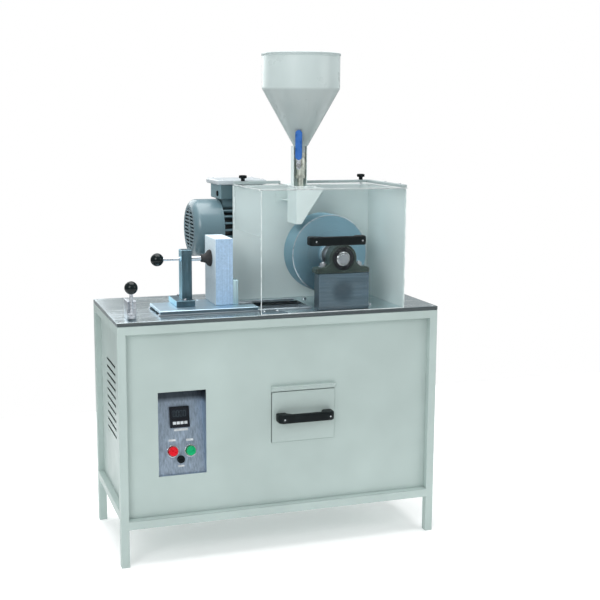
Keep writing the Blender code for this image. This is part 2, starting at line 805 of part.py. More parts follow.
def guard_lid():
    """A clear top sheet, stiffened by a rail along its rear edge and one along its right edge."""
    bottom = GUARD_TOP + 0.001
    front = -0.001
    rear = GUARD_REAR + SHEET + 0.001
    right = GUARD_RIGHT + 0.002
    sheet = block((GUARD_LEFT, front, bottom), (right, rear, LID_SHEET_TOP), bevel=0.0004)
    overlap = LID_SHEET_TOP - 0.0005
    inset = 0.0008
    rails = [
        block(
            (GUARD_LEFT + inset, rear - LID_RAIL, overlap),
            (right - inset, rear - inset, LID_TOP),
            bevel=0.0005,
        ),
        block(
            (right - LID_RAIL, front + inset, overlap),
            (right - inset, rear - 0.002, LID_TOP),
            bevel=0.0005,
        ),
    ]
    slot_left, slot_right, slot_front = LID_SLOT
    slot = block((slot_left, slot_front, bottom - TUBE), (slot_right, rear + TUBE, LID_TOP + TUBE))
    holes = []
    for x in KNOB_SPOTS.values():
        holes.append(rod("Z", (x, KNOB_Y), 0.0034, bottom - TUBE, LID_TOP + TUBE, steps=16))
    part("guard_lid", "clear_acrylic", sheet, unite=rails, cut=[slot, *holes])


def thumb_knobs():
    profile = [(-0.016, 0.0), (-0.016, 0.003), (GAP, 0.003), (GAP, 0.005), (0.006, 0.005), (0.008, 0.009)]
    profile += [(0.010, 0.010), (0.0135, 0.010), (0.015, 0.0085), (0.0155, 0.0)]
    mesh = mesh_from("thumb_knob", turned("Z", (0, 0), profile, steps=16))
    mesh.materials.append(finish("thumb_knob", "black_plastic"))
    for side, x in KNOB_SPOTS.items():
        knob = bpy.data.objects.new(f"thumb_knob_{side}", mesh)
        knob.location = (x, KNOB_Y, LID_TOP)
        knob.parent = machine
        bpy.context.scene.collection.objects.link(knob)


# Abrasive feed


def hopper():
    wall = HOPPER_WALL
    cone_rise = HOPPER_SHOULDER - CONE_BOTTOM
    bottom_radius = 0.018
    slant = wall * math.hypot(cone_rise, HOPPER_RADIUS - bottom_radius) / cone_rise
    profile = [
        (CONE_BOTTOM - 0.017, NECK_RADIUS - wall),
        (CONE_BOTTOM - 0.017, NECK_RADIUS),
        (CONE_BOTTOM, NECK_RADIUS),
        (CONE_BOTTOM, bottom_radius),
        (HOPPER_SHOULDER, HOPPER_RADIUS),
        (HOPPER_TOP - 0.004, HOPPER_RADIUS),
        (HOPPER_TOP - 0.003, HOPPER_RADIUS + wall),
        (HOPPER_TOP, HOPPER_RADIUS + wall),
        (HOPPER_TOP, HOPPER_RADIUS - wall),
        (HOPPER_SHOULDER, HOPPER_RADIUS - wall),
        (CONE_BOTTOM + 0.003, bottom_radius - slant + 0.0016),
        (CONE_BOTTOM + 0.001, NECK_RADIUS - wall),
    ]
    part("hopper", "cabinet_paint", turned("Z", (HOPPER_X, HOPPER_Y), profile, steps=40))


def hopper_bracket():
    """A channel, open to the front, that carries the hopper on the rear wall of the guard."""
    left = COLUMN_X - COLUMN_WIDTH / 2
    right = COLUMN_X + COLUMN_WIDTH / 2
    wall = SHEET
    front = HOPPER_Y - 0.002
    rear = HOPPER_Y + 0.018
    outline = [
        (left, front),
        (left + wall, front),
        (left + wall, rear - wall),
        (right - wall, rear - wall),
        (right - wall, front),
        (right, front),
        (right, rear),
        (left, rear),
    ]
    foot = GUARD_TOP + GAP
    channel = prism(outline, "Z", foot, CONE_BOTTOM - GAP)
    hook = GUARD_REAR + SHEET + GAP
    arm = block((COLUMN_X - 0.014, rear - 0.001, foot), (COLUMN_X + 0.014, hook + wall, foot + 0.003))
    tail = block((COLUMN_X - 0.014, hook, foot - 0.030), (COLUMN_X + 0.014, hook + wall, foot + 0.001))
    part("hopper_bracket", "cabinet_paint", channel, unite=[arm, tail])


def flow_chute():
    wall = 0.0015
    front = WHEEL_FRONT
    rear = WHEEL_REAR + 0.002
    rise = (CHUTE_RIGHT - CHUTE_OUTLET) / (CHUTE_TOP - CHUTE_BOTTOM)
    slant = wall * math.hypot(1, rise)
    outer = [
        (CHUTE_LEFT, CHUTE_BOTTOM),
        (CHUTE_OUTLET, CHUTE_BOTTOM),
        (CHUTE_RIGHT, CHUTE_TOP),
        (CHUTE_LEFT, CHUTE_TOP),
    ]
    over = 0.01
    inner = [
        (CHUTE_LEFT + wall, CHUTE_BOTTOM - over),
        (CHUTE_OUTLET - slant - over * rise, CHUTE_BOTTOM - over),
        (CHUTE_RIGHT - slant + over * rise, CHUTE_TOP + over),
        (CHUTE_LEFT + wall, CHUTE_TOP + over),
    ]
    shell = prism(outer, "Y", front, rear)
    arm = block((CHUTE_LEFT, rear - 0.001, 0.852), (CHUTE_LEFT + 0.026, GUARD_REAR - 0.002, 0.855))
    foot = block(
        (CHUTE_LEFT - 0.014, GUARD_REAR - 0.003, 0.845),
        (CHUTE_LEFT + 0.030, GUARD_REAR - GAP, 0.868),
    )
    hollow = prism(inner, "Y", front + wall, rear - wall)
    part("flow_chute", "cabinet_paint", shell, unite=[arm, foot], cut=[hollow])


def valve():
    """A ball valve between the hopper and the chute. Its stem points to the front left."""
    frame = empty("valve_frame", (HOPPER_X, HOPPER_Y, VALVE_Z), machine, (0, 0, VALVE_TURN))
    top = CONE_BOTTOM - 0.017 - GAP - VALVE_Z
    body = turned(
        "Z",
        (0, 0),
        [(-0.062, 0.0065), (-0.062, 0.008), (-0.026, 0.008), (-0.026, 0.0115), (-0.014, 0.0115)]
        + [(-0.010, 0.0130), (0.010, 0.0130), (0.014, 0.0115), (top, 0.0115), (top, 0.0065)],
        steps=16,
    )
    boss = rod("Y", (0, 0), 0.0065, -0.024, -0.008, steps=20)
    seat = turned("Y", (0, 0), ball_profile(0.0, 0.0104, 8), steps=16)
    bore = rod("Z", (0, 0), 0.0065, -0.012, 0.012, steps=16)
    stem_hole = rod("Y", (0, 0), 0.0033, -0.03, -0.005, steps=16)
    part("valve_body", "brass", body, unite=[boss], cut=[seat, bore, stem_hole], parent=frame)

    ball = turned("Y", (0, 0), ball_profile(0.0, 0.0100, 8), steps=16)
    stem = rod("Y", (0, 0), 0.0030, -LEVER_REACH - 0.004, -0.008, steps=16)
    nut = rod("Y", (0, 0), 0.0058, -LEVER_REACH - 0.0035, -LEVER_REACH - GAP, steps=6)
    waterway = rod("Z", (0, 0), 0.0062, -0.02, 0.02, steps=16)
    part("valve_ball", "chrome", ball, unite=[stem, nut], cut=[waterway], parent=frame)

    half = 0.0085
    tip = 0.087
    outline = [(-half, -0.010), (half, -0.010), (half, tip - half)]
    outline += circle((0, tip - half), half, steps=8, start=0.0, sweep=math.pi)[1:-1]
    outline += [(-half, tip - half)]
    lever = prism(outline, "Y", -LEVER_REACH, -LEVER_REACH + 0.004, bevel=0.0008)
    boss_hole = rod("Y", (0, 0), 0.0033, -0.06, -0.02, steps=16)
    part("valve_lever", "blue_vinyl", lever, cut=[boss_hole], parent=frame)


# Wheel and drive


def wheel_parts():
    centre = (WHEEL_X, WHEEL_Z)
    origin = (WHEEL_X, 0, WHEEL_Z)
    bore = WHEEL_SEAT_RADIUS + GAP
    hub = 0.028
    edge = 0.0012
    wheel = [
        (WHEEL_FRONT - 0.012, bore),
        (WHEEL_FRONT - 0.012, hub),
        (WHEEL_FRONT, hub),
        (WHEEL_FRONT, WHEEL_RADIUS - edge),
        (WHEEL_FRONT + edge, WHEEL_RADIUS),
        (WHEEL_REAR - edge, WHEEL_RADIUS),
        (WHEEL_REAR, WHEEL_RADIUS - edge),
        (WHEEL_REAR, hub),
        (WHEEL_REAR + 0.012, hub),
        (WHEEL_REAR + 0.012, bore),
    ]
    part("abrasion_wheel", "ground_steel", turned("Y", centre, wheel, steps=48), origin=origin)

    shoulder = BLOCK_REAR + 0.012
    collar = WHEEL_FRONT - 0.012 - GAP
    seat_end = WHEEL_REAR + 0.018
    shaft = [
        (SHAFT_FRONT, 0.0),
        (SHAFT_FRONT, SHAFT_RADIUS - 0.001),
        (SHAFT_FRONT + 0.001, SHAFT_RADIUS),
        (shoulder, SHAFT_RADIUS),
        (shoulder, 0.020),
        (collar, 0.020),
        (collar, WHEEL_SEAT_RADIUS),
        (seat_end, WHEEL_SEAT_RADIUS),
        (seat_end, SHAFT_RADIUS),
        (SHAFT_REAR, SHAFT_RADIUS),
        (SHAFT_REAR, 0.0),
    ]
    part("wheel_shaft", "ground_steel", turned("Y", centre, shaft, steps=24), origin=origin)

    ring_bore = SHAFT_RADIUS + GAP
    ring_front = BLOCK_FRONT - 0.002
    ring_rear = BLOCK_REAR + 0.006
    ring = [
        (ring_front, ring_bore),
        (ring_front, BEARING_RING_RADIUS),
        (ring_rear, BEARING_RING_RADIUS),
        (ring_rear, ring_bore),
    ]
    part("bearing_inner_ring", "chrome", turned("Y", centre, ring, steps=24), origin=origin)

    tip = 0.0435
    root = 0.0405
    outline = []
    for tooth in range(GEAR_TEETH):
        for share, radius in ((0.0, root), (0.30, tip), (0.60, tip), (0.90, root)):
            angle = 2 * math.pi * (tooth + share) / GEAR_TEETH
            outline.append((WHEEL_X + radius * math.cos(angle), WHEEL_Z + radius * math.sin(angle)))
    gear = prism(outline, "Y", MOTOR_Y - 0.013, MOTOR_Y + 0.013)
    sleeve = rod("Y", centre, 0.020, GEARBOX_FRONT + 0.001, GEARBOX_REAR - 0.001, steps=32)
    gear_bore = rod("Y", centre, SHAFT_RADIUS + GAP, GEARBOX_FRONT - TUBE, GEARBOX_REAR + TUBE, steps=32)
    part("worm_wheel", "bronze", gear, unite=[sleeve], cut=[gear_bore], origin=origin)


def front_bearing():
    block_shape = block(
        (BLOCK_LEFT, BLOCK_FRONT, TABLE_TOP + GAP), (BLOCK_RIGHT, BLOCK_REAR, BLOCK_TOP - GAP), bevel=0.001
    )
    part("front_support_block", "ground_steel", block_shape)

    half = PILLOW_LENGTH / 2
    foot = 0.014
    shoulder = 0.040
    first = math.radians(-12)
    sweep = math.radians(204)
    arc = circle((WHEEL_X, WHEEL_Z), PILLOW_RADIUS, steps=16, start=first, sweep=sweep)
    outline = [
        (WHEEL_X - half, BLOCK_TOP),
        (WHEEL_X + half, BLOCK_TOP),
        (WHEEL_X + half, BLOCK_TOP + foot),
        (WHEEL_X + shoulder, BLOCK_TOP + foot + 0.003),
        *arc,
        (WHEEL_X - shoulder, BLOCK_TOP + foot + 0.003),
        (WHEEL_X - half, BLOCK_TOP + foot),
    ]
    housing = prism(outline, "Y", BLOCK_FRONT, BLOCK_REAR, bevel=0.0015)
    centre = (WHEEL_X, WHEEL_Z)
    recess = 0.006
    cuts = [
        rod("Y", centre, BEARING_RING_RADIUS + 0.0004, BLOCK_FRONT - TUBE, BLOCK_REAR + TUBE, steps=32),
        rod("Y", centre, BEARING_SEAT_RADIUS, BLOCK_FRONT - TUBE, BLOCK_FRONT + recess, steps=32),
        rod("Y", centre, BEARING_SEAT_RADIUS, BLOCK_REAR - recess, BLOCK_REAR + TUBE, steps=32),
    ]
    part("pillow_block", "cast_iron", housing, cut=cuts)


def gearbox_housing():
    centre = (WHEEL_X, WHEEL_Z)
    worm = (MOTOR_Y, MOTOR_Z)
    flange = MOTOR_RIGHT + GAP
    shapes = [
        rod("Y", centre, 0.032, GEARBOX_FRONT, GEARBOX_REAR, steps=28),
        block(
            (flange + 0.008, MOTOR_Y - 0.032, WHEEL_Z),
            (WHEEL_X + 0.058, MOTOR_Y + 0.032, 0.806),
            bevel=0.005,
        ),
        rod("X", worm, 0.055, flange, flange + 0.010, steps=28),
        block(
            (WHEEL_X - 0.062, MOTOR_Y - 0.044, TABLE_TOP + GAP),
            (WHEEL_X + 0.062, MOTOR_Y + 0.044, 0.608),
            bevel=0.002,
        ),
        block(
            (WHEEL_X - 0.040, MOTOR_Y - 0.030, 0.604),
            (WHEEL_X + 0.040, MOTOR_Y + 0.030, 0.690),
        ),
    ]
    cuts = [
        rod("Y", centre, 0.045, MOTOR_Y - 0.015, MOTOR_Y + 0.015, steps=28),
        rod("Y", centre, 0.0203, GEARBOX_FRONT - TUBE, GEARBOX_REAR + TUBE, steps=28),
        rod("X", worm, 0.0115, flange - TUBE, WHEEL_X + 0.052, steps=20),
    ]
    drum = rod("Y", centre, 0.057, MOTOR_Y - 0.034, MOTOR_Y + 0.034, steps=28, bevel=0.003)
    part("gearbox_housing", "grey_enamel", drum, unite=shapes, cut=cuts)


def motor_body():
    """Finned stator housing, with an end shield at each end and the seat of the terminal box."""
    centre = (MOTOR_Y, MOTOR_Z)
    root = MOTOR_RADIUS - 0.010
    outline = []
    for fin in range(MOTOR_FINS):
        steps = ((-0.22, root), (-0.13, MOTOR_RADIUS), (0.13, MOTOR_RADIUS), (0.22, root))
        for share, radius in steps:
            angle = 2 * math.pi * (fin + share) / MOTOR_FINS
            outline.append((MOTOR_Y + radius * math.cos(angle), MOTOR_Z + radius * math.sin(angle)))
    shield = 0.010
    fins = prism(outline, "X", MOTOR_LEFT, MOTOR_RIGHT - shield)
    flange_left = MOTOR_RIGHT - shield - 0.001
    flange = rod("X", centre, MOTOR_RADIUS + 0.001, flange_left, MOTOR_RIGHT, steps=40)
    seat_low = (MOTOR_LEFT + 0.004, MOTOR_Y - 0.035, MOTOR_Z + 0.045)
    seat = block(seat_low, (0.020, MOTOR_Y + 0.035, TERMINAL_BOTTOM - GAP))
    cuts = [
        rod("X", centre, ROTOR_BORE, MOTOR_LEFT + 0.008, MOTOR_RIGHT - shield, steps=32),
        rod("X", centre, 0.0095, MOTOR_LEFT - TUBE, MOTOR_RIGHT + TUBE, steps=24),
    ]
    part("motor_body", "grey_enamel", fins, unite=[flange, seat], cut=cuts)


def motor_cowl():
    """The pressed cover of the motor's fan, with a slatted grille."""
    centre = (MOTOR_Y, MOTOR_Z)
    wall = 0.0015
    bend = COWL_RADIUS - GRILLE_RADIUS
    right = MOTOR_LEFT - GAP
    outer = []
    inner = []
    for i in range(5):
        angle = math.pi / 2 * i / 4
        across = math.sin(angle)
        along = 0.95 * bend * (1 - math.cos(angle))
        outer.append((COWL_LEFT + along, GRILLE_RADIUS + bend * across))
        inner.append((COWL_LEFT + wall + along, GRILLE_RADIUS + (bend - wall) * across))
    profile = [(COWL_LEFT, 0.0), *outer, (right, COWL_RADIUS), (right, COWL_RADIUS - wall)]
    profile += [*reversed(inner), (COWL_LEFT + wall, 0.0)]
    slats = []
    for i in range(-6, 7):
        z = i * 0.0078
        reach = math.sqrt((GRILLE_RADIUS - 0.003) ** 2 - z**2)
        low = (COWL_LEFT - TUBE, MOTOR_Y - reach, MOTOR_Z + z - 0.0022)
        slats.append(block(low, (COWL_LEFT + 0.004, MOTOR_Y + reach, MOTOR_Z + z + 0.0022)))
    part("motor_cowl", "grey_enamel", turned("X", centre, profile, steps=40), cut=slats)


def motor_rotor():
    """Rotor core, shaft, worm and cooling fan, turning as one."""
    centre = (MOTOR_Y, MOTOR_Z)
    fan_left = -0.134
    fan_right = -0.096
    core_left = MOTOR_LEFT + 0.016
    core_right = MOTOR_RIGHT - 0.022
    profile = [(fan_left, 0.0), (fan_left, 0.016), (fan_right, 0.016), (fan_right, 0.009)]
    profile += [(core_left, 0.009), (core_left, 0.034), (core_right, 0.034), (core_right, 0.009)]
    worm_start = 0.118
    profile += [(worm_start - 0.003, 0.009), (worm_start - 0.003, 0.006)]
    thread_pitch = 0.0115
    for i in range(7):
        x = worm_start + i * thread_pitch
        profile += [(x, 0.0065), (x + 0.0040, 0.0095), (x + 0.0080, 0.0065)]
    profile += [(0.204, 0.006), (0.204, 0.0)]
    blades = []
    for i in range(7):
        blade = block(
            (fan_left + 0.002, MOTOR_Y + 0.012, MOTOR_Z - 0.001),
            (fan_right - 0.002, MOTOR_Y + 0.062, MOTOR_Z + 0.001),
        )
        turn = Matrix.Rotation(2 * math.pi * i / 7, 4, "X")
        middle = Vector((0, MOTOR_Y, MOTOR_Z))
        blades.append(moved(blade, Matrix.Translation(middle) @ turn @ Matrix.Translation(-middle)))
    core = turned("X", centre, profile, steps=16)
    part("motor_rotor", "ground_steel", core, unite=blades, origin=(0, MOTOR_Y, MOTOR_Z))


def terminal_box():
    """The box on top of the motor, with an overhanging lid and a cable gland in its rear wall."""
    low = (TERMINAL_LEFT, TERMINAL_FRONT, TERMINAL_BOTTOM)
    box = block(low, (TERMINAL_RIGHT, TERMINAL_REAR, TERMINAL_TOP), bevel=0.003)
    lid = block(
        (TERMINAL_LEFT - 0.011, TERMINAL_FRONT - 0.006, TERMINAL_TOP - 0.001),
        (TERMINAL_RIGHT + 0.006, TERMINAL_REAR + 0.006, TERMINAL_TOP + 0.012),
        bevel=0.004,
    )
    end = TERMINAL_REAR + GLAND_LENGTH
    gland = rod("Y", GLAND_SPOT, 0.0095, TERMINAL_REAR - 0.001, end, steps=6)
    hole = rod("Y", GLAND_SPOT, LEAD_RADIUS + GAP, end - 0.006, end + TUBE, steps=16)
    part("terminal_box", "grey_enamel", box, unite=[lid, gland], cut=[hole])


def motor_lead():
    """From the gland down behind the motor, through the table and into the control box."""
    gland_x, gland_z = GLAND_SPOT
    gland_end = TERMINAL_REAR + GLAND_LENGTH
    drop_y = MOTOR_Y + LEAD_BEND
    hole_x, hole_y = LEAD_HOLE
    entry_x, entry_y = CONTROL_ENTRY
    box_top = RECESS_TOP + 0.012
    points = [
        (gland_x, gland_end - 0.0055, gland_z),
        (gland_x, gland_end + 0.002, gland_z),
        (gland_x, drop_y - 0.003, gland_z - 0.006),
        (gland_x, drop_y - 0.0012, gland_z - 0.018),
        (gland_x, drop_y, gland_z - 0.035),
        (gland_x, drop_y, MOTOR_Z),
        (gland_x - 0.001, drop_y - 0.002, MOTOR_Z - 0.025),
        (gland_x - 0.004, drop_y - 0.008, MOTOR_Z - 0.060),
        (gland_x - 0.015, drop_y - 0.030, 0.660),
        (hole_x + 0.003, hole_y + 0.010, 0.620),
        (hole_x, hole_y, TABLE_TOP),
        (hole_x, hole_y - 0.001, 0.565),
        (hole_x - 0.030, hole_y - 0.030, 0.510),
        (entry_x + 0.045, entry_y + 0.110, 0.485),
        (entry_x + 0.004, entry_y + 0.030, 0.482),
        (entry_x, entry_y, 0.455),
        (entry_x, entry_y, box_top - 0.004),
    ]
    tube("motor_lead", "black_rubber", points, LEAD_RADIUS)


# Trolley, clamp and lock lever


def trolley_track():
    bottom = TABLE_TOP + GAP
    top = bottom + TRACK_THICKNESS
    left = TROLLEY_LEFT - 0.003
    front_low = (left, TROLLEY_FRONT + 0.003, bottom)
    front_rail = block(front_low, (0.088, TROLLEY_FRONT + 0.013, top))
    rails = [
        block((left, 0.170, bottom), (SLOT_LEFT - 0.002, 0.180, top)),
        block((-0.112, 0.192, bottom), (0.088, 0.202, top)),
        block((-0.112, TROLLEY_FRONT + 0.005, bottom), (-0.100, 0.200, top)),
    ]
    part("trolley_track", "bright_steel", front_rail, unite=rails)


def trolley_plate():
    outline = [
        (TROLLEY_LEFT, TROLLEY_FRONT),
        (-0.050, TROLLEY_FRONT),
        (-0.050, 0.100),
        (-0.084, 0.100),
        (-0.084, 0.208),
        (-0.170, 0.208),
        (-0.170, 0.185),
        (TROLLEY_LEFT, 0.185),
    ]
    plate = prism(outline, "Z", TROLLEY_BOTTOM + 0.0002, TROLLEY_TOP, bevel=0.0015)
    foot = (TONGUE_LEFT, TONGUE_FRONT, CABLE_Z - 0.011)
    tongue = block(foot, (TONGUE_RIGHT, TONGUE_REAR, TROLLEY_BOTTOM + 0.003))
    arm = block(foot, (TONGUE_RIGHT, CABLE_Y + 0.007, CABLE_Z + 0.008))
    eye_radius = CABLE_RADIUS + 0.0012
    eye = rod("X", (CABLE_Y, CABLE_Z), eye_radius, TONGUE_LEFT - TUBE, TONGUE_RIGHT + TUBE, steps=16)
    origin = (0, 0, TROLLEY_TOP)
    part("trolley_plate", "bright_steel", plate, unite=[tongue, arm], cut=[eye], origin=origin)


def clamp_post():
    half = 0.017
    foot = block((-0.243, 0.103, TROLLEY_TOP + GAP), (-0.1965, 0.195, 0.621), bevel=0.001)
    post = block((-0.2225, CLAMP_Y - half, 0.619), (-0.197, CLAMP_Y + half, 0.741), bevel=0.001)
    bore = rod("X", (CLAMP_Y, CLAMP_Z), SPINDLE_RADIUS + RUNNING_FIT, -0.25, -0.18, steps=24)
    part("clamp_post", "ground_steel", foot, unite=[post], cut=[bore], origin=(0, 0, TROLLEY_TOP))


def specimen_and_stop():
    base = TROLLEY_TOP + GAP
    stop = block((SPECIMEN_RIGHT, 0.105, base), (-0.087, 0.205, 0.666), bevel=0.0008)
    part("specimen_stop", "ground_steel", stop, origin=(0, 0, TROLLEY_TOP))
    low = (SPECIMEN_LEFT, SPECIMEN_FRONT, base)
    body = block(low, (SPECIMEN_RIGHT - GAP, SPECIMEN_REAR, SPECIMEN_TOP), bevel=0.0012)
    part("test_specimen", "concrete", body, origin=(0, 0, TROLLEY_TOP))


def clamp_parts():
    centre = (CLAMP_Y, CLAMP_Z)
    socket = SPINDLE_RADIUS + GAP
    profile = [(-0.171, socket), (-0.171, 0.0090), (-0.170, 0.0098), (-0.163, 0.0112), (-0.158, 0.0135)]
    profile += [(-0.154, 0.0170), (-0.1515, 0.0195), (-0.150, 0.0205), (-0.148, 0.0210)]
    profile += [(SPECIMEN_LEFT - GAP, 0.0205), (SPECIMEN_LEFT - GAP, 0.0)]
    profile += [(SPINDLE_END + GAP, 0.0), (SPINDLE_END + GAP, socket)]
    part("clamp_foot", "black_rubber", turned("X", centre, profile, steps=20), origin=(0, CLAMP_Y, CLAMP_Z))

    ball_end = CLAMP_BALL_X + 0.0075
    spindle = [
        (ball_end + GAP, 0.0),
        (ball_end + GAP, 0.0035),
        (-0.226, 0.0035),
        (-0.225, SPINDLE_RADIUS),
        (SPINDLE_END - 0.001, SPINDLE_RADIUS),
        (SPINDLE_END, SPINDLE_RADIUS - 0.001),
        (SPINDLE_END, 0.0),
    ]
    origin = (0, CLAMP_Y, CLAMP_Z)
    part("clamp_spindle", "bright_steel", turned("X", centre, spindle, steps=24), origin=origin)
    ball = ball_profile(CLAMP_BALL_X, CLAMP_BALL_RADIUS, 9, 0.0038, ball_end)
    part("clamp_ball_knob", "black_plastic", turned("X", centre, ball, steps=16), origin=origin)


def lock_lever():
    front = 0.0145
    face = 0.033
    low = (LOCK_X - 0.0076, face, TABLE_TOP + GAP)
    housing = block(low, (LOCK_X + 0.0142, 0.075, 0.639), bevel=0.001)
    pin = rod("Y", (LOCK_X, LOCK_Z), 0.003, front - 0.002, face + 0.002, steps=16)
    part("lever_block", "bright_steel", housing, unite=[pin])

    boss = rod("Y", (LOCK_X, LOCK_Z), 0.0075, front, face - GAP, steps=20, bevel=0.0006)
    stem = rod("Z", (LOCK_X, 0.020), 0.004, LOCK_Z + 0.004, LOCK_BALL_Z - 0.008 - GAP, steps=20)
    bore = rod("Y", (LOCK_X, LOCK_Z), 0.0031, 0.0, 0.04, steps=16)
    origin = (LOCK_X, 0.020, LOCK_Z)
    part("lock_lever", "bright_steel", boss, unite=[stem], cut=[bore], origin=origin)

    socket_end = LOCK_BALL_Z + 0.008
    upside_down = ball_profile(LOCK_BALL_Z, LOCK_BALL_RADIUS, 9, 0.0043, socket_end)
    profile = [(2 * LOCK_BALL_Z - along, r) for along, r in upside_down]
    ball = turned("Z", (LOCK_X, 0.020), profile, steps=16)
    part("lock_lever_ball", "black_plastic", ball, origin=origin)


# Counterweight


def counterweight_parts():
    weight_x = PULLEY_X + PULLEY_RADIUS
    edge = 0.002
    profile = [
        (WEIGHT_BOTTOM, 0.0),
        (WEIGHT_BOTTOM, WEIGHT_RADIUS - edge),
        (WEIGHT_BOTTOM + edge, WEIGHT_RADIUS),
        (WEIGHT_TOP - edge, WEIGHT_RADIUS),
        (WEIGHT_TOP, WEIGHT_RADIUS - edge),
        (WEIGHT_TOP, 0.006),
        (WEIGHT_EYE_TOP, 0.006),
        (WEIGHT_EYE_TOP, 0.0),
    ]
    origin = (weight_x, CABLE_Y, WEIGHT_TOP)
    part("counterweight", "cast_iron", turned("Z", (weight_x, CABLE_Y), profile, steps=28), origin=origin)

    half = 0.006
    groove = PULLEY_RADIUS - CABLE_RADIUS - 0.0002
    rim = PULLEY_RADIUS + 0.002
    bore = 0.0041
    wheel = [
        (CABLE_Y - half, bore),
        (CABLE_Y - half, rim),
        (CABLE_Y - half + 0.0015, rim),
        (CABLE_Y - 0.002, groove),
        (CABLE_Y + 0.002, groove),
        (CABLE_Y + half - 0.0015, rim),
        (CABLE_Y + half, rim),
        (CABLE_Y + half, bore),
    ]
    centre = (PULLEY_X, PULLEY_Z)
    part("pulley", "bright_steel", turned("Y", centre, wheel, steps=24), origin=(PULLEY_X, 0, PULLEY_Z))

    top = PLATE_UNDERSIDE - GAP
    plate = block(
        (PULLEY_X - 0.022, CABLE_Y - 0.014, top - 0.004),
        (PULLEY_X + 0.022, CABLE_Y + 0.014, top),
    )
    cheeks = []
    for side in (-1, 1):
        ys = sorted((CABLE_Y + side * 0.0085, CABLE_Y + side * 0.0115))
        low = (PULLEY_X - 0.012, ys[0], PULLEY_Z - 0.012)
        cheeks.append(block(low, (PULLEY_X + 0.012, ys[1], top - 0.002)))
    axle = rod("Y", centre, 0.004, CABLE_Y - 0.010, CABLE_Y + 0.010, steps=16)
    part("pulley_bracket", "bright_steel", plate, unite=[*cheeks, axle])


def cables():
    run_start = (TONGUE_LEFT + 0.002, CABLE_Y, CABLE_Z)
    over = [math.pi / 2 * i / 6 for i in range(7)]
    arc = []
    for angle in over:
        x = PULLEY_X + PULLEY_RADIUS * math.sin(angle)
        arc.append((x, CABLE_Y, PULLEY_Z + PULLEY_RADIUS * math.cos(angle)))
    straight = [(x, CABLE_Y, CABLE_Z) for x in (-0.15, 0.0, 0.15)]
    tube("cable_run", "wire_rope", [run_start, *straight, *arc], CABLE_RADIUS)
    weight_x = PULLEY_X + PULLEY_RADIUS
    drop = rod("Z", (weight_x, CABLE_Y), CABLE_RADIUS, WEIGHT_EYE_TOP + GAP, PULLEY_Z - GAP, steps=8)
    part("cable_drop", "wire_rope", drop, origin=(weight_x, CABLE_Y, PULLEY_Z - GAP))


clear_scene()
machine = empty("machine_origin", (0, FRAME_FRONT_Y, 0))

base_frame()
table_plate()
front_panel()
side_panel("left_side_panel", -1)
side_panel("right_side_panel", 1)
back_panel()
floor_panel()
mains_inlet()

control_pan()
control_face = tilted_panel_empty()
revolution_counter(control_face)
push_button("stop", STOP_SPOT, "red_plastic", control_face)
push_button("start", START_SPOT, "green_plastic", control_face)
fuse_parts(control_face)

drawer()
drawer_cradle()
slot_funnel()
handles()

guard_shield()
guard_pane()
guard_lid()
thumb_knobs()

hopper()
hopper_bracket()
flow_chute()
valve()

wheel_parts()
front_bearing()
gearbox_housing()
motor_body()
motor_cowl()
motor_rotor()
terminal_box()
motor_lead()

trolley_track()
trolley_plate()
clamp_post()
specimen_and_stop()
clamp_parts()
lock_lever()

counterweight_parts()
cables()
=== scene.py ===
import json
import math

import bmesh
import bpy
from mathutils import Matrix, Vector


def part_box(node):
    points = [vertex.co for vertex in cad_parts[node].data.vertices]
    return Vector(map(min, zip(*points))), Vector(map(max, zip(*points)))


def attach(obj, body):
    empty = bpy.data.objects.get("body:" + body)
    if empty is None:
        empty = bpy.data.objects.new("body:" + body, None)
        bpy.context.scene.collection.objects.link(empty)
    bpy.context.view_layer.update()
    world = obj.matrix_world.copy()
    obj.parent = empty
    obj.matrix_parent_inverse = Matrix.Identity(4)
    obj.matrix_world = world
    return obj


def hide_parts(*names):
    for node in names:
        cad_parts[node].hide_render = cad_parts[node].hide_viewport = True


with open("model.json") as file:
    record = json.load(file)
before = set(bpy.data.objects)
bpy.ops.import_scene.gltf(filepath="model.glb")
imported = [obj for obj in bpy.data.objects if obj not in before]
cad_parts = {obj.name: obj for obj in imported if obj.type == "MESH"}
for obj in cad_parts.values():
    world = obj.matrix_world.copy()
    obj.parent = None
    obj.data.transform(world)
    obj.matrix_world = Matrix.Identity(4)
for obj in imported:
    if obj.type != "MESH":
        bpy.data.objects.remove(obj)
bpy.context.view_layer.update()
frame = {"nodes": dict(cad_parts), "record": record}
NODES = frame["nodes"]
BODY_OF = {node: body for body, nodes in frame["record"]["behaviour"]["bodies"].items() for node in nodes}

# Places that the CAD nodes' boxes don't give, in metres; those along Y are counted from FRONT
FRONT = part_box("base_frame")[0].y
PANEL_ORIGIN = (0, FRONT + 0.026, 0.212)
PANEL_TILT = math.radians(12.5)
COUNTER_SPOT = (-0.2508, 0.1368)
BUTTON_SPOTS = {"stop": (-0.2716, 0.0555), "start": (-0.2283, 0.0540)}
PANE = 0.003
SIDE_PANE_BOTTOM = 0.780
LID_RAIL = 0.0155
LID_SLOT = (0.062, 0.113, FRONT + 0.105)
VALVE_SPOT = (0.0885, FRONT + 0.150)
VALVE_Z = 0.945
MOTOR_AXIS = (FRONT + 0.320, 0.775)
TERMINAL_REAR = FRONT + 0.374
GLAND_SPOT = (-0.030, 0.868)
PLUG_SPOT = (FRONT + 0.300, 0.8665)
DARKENED_SPOT = (0.156, FRONT + 0.018, 0.640)

UP = (0, 0, 1)
FORWARD = (0.0, -1.0, 0.0)
LEFTWARD = (-1.0, 0.0, 0.0)
WHITE = (1.0, 1.0, 1.0, 1.0)


def middle(node):
    low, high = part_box(node)
    return (low + high) / 2


# Node trees


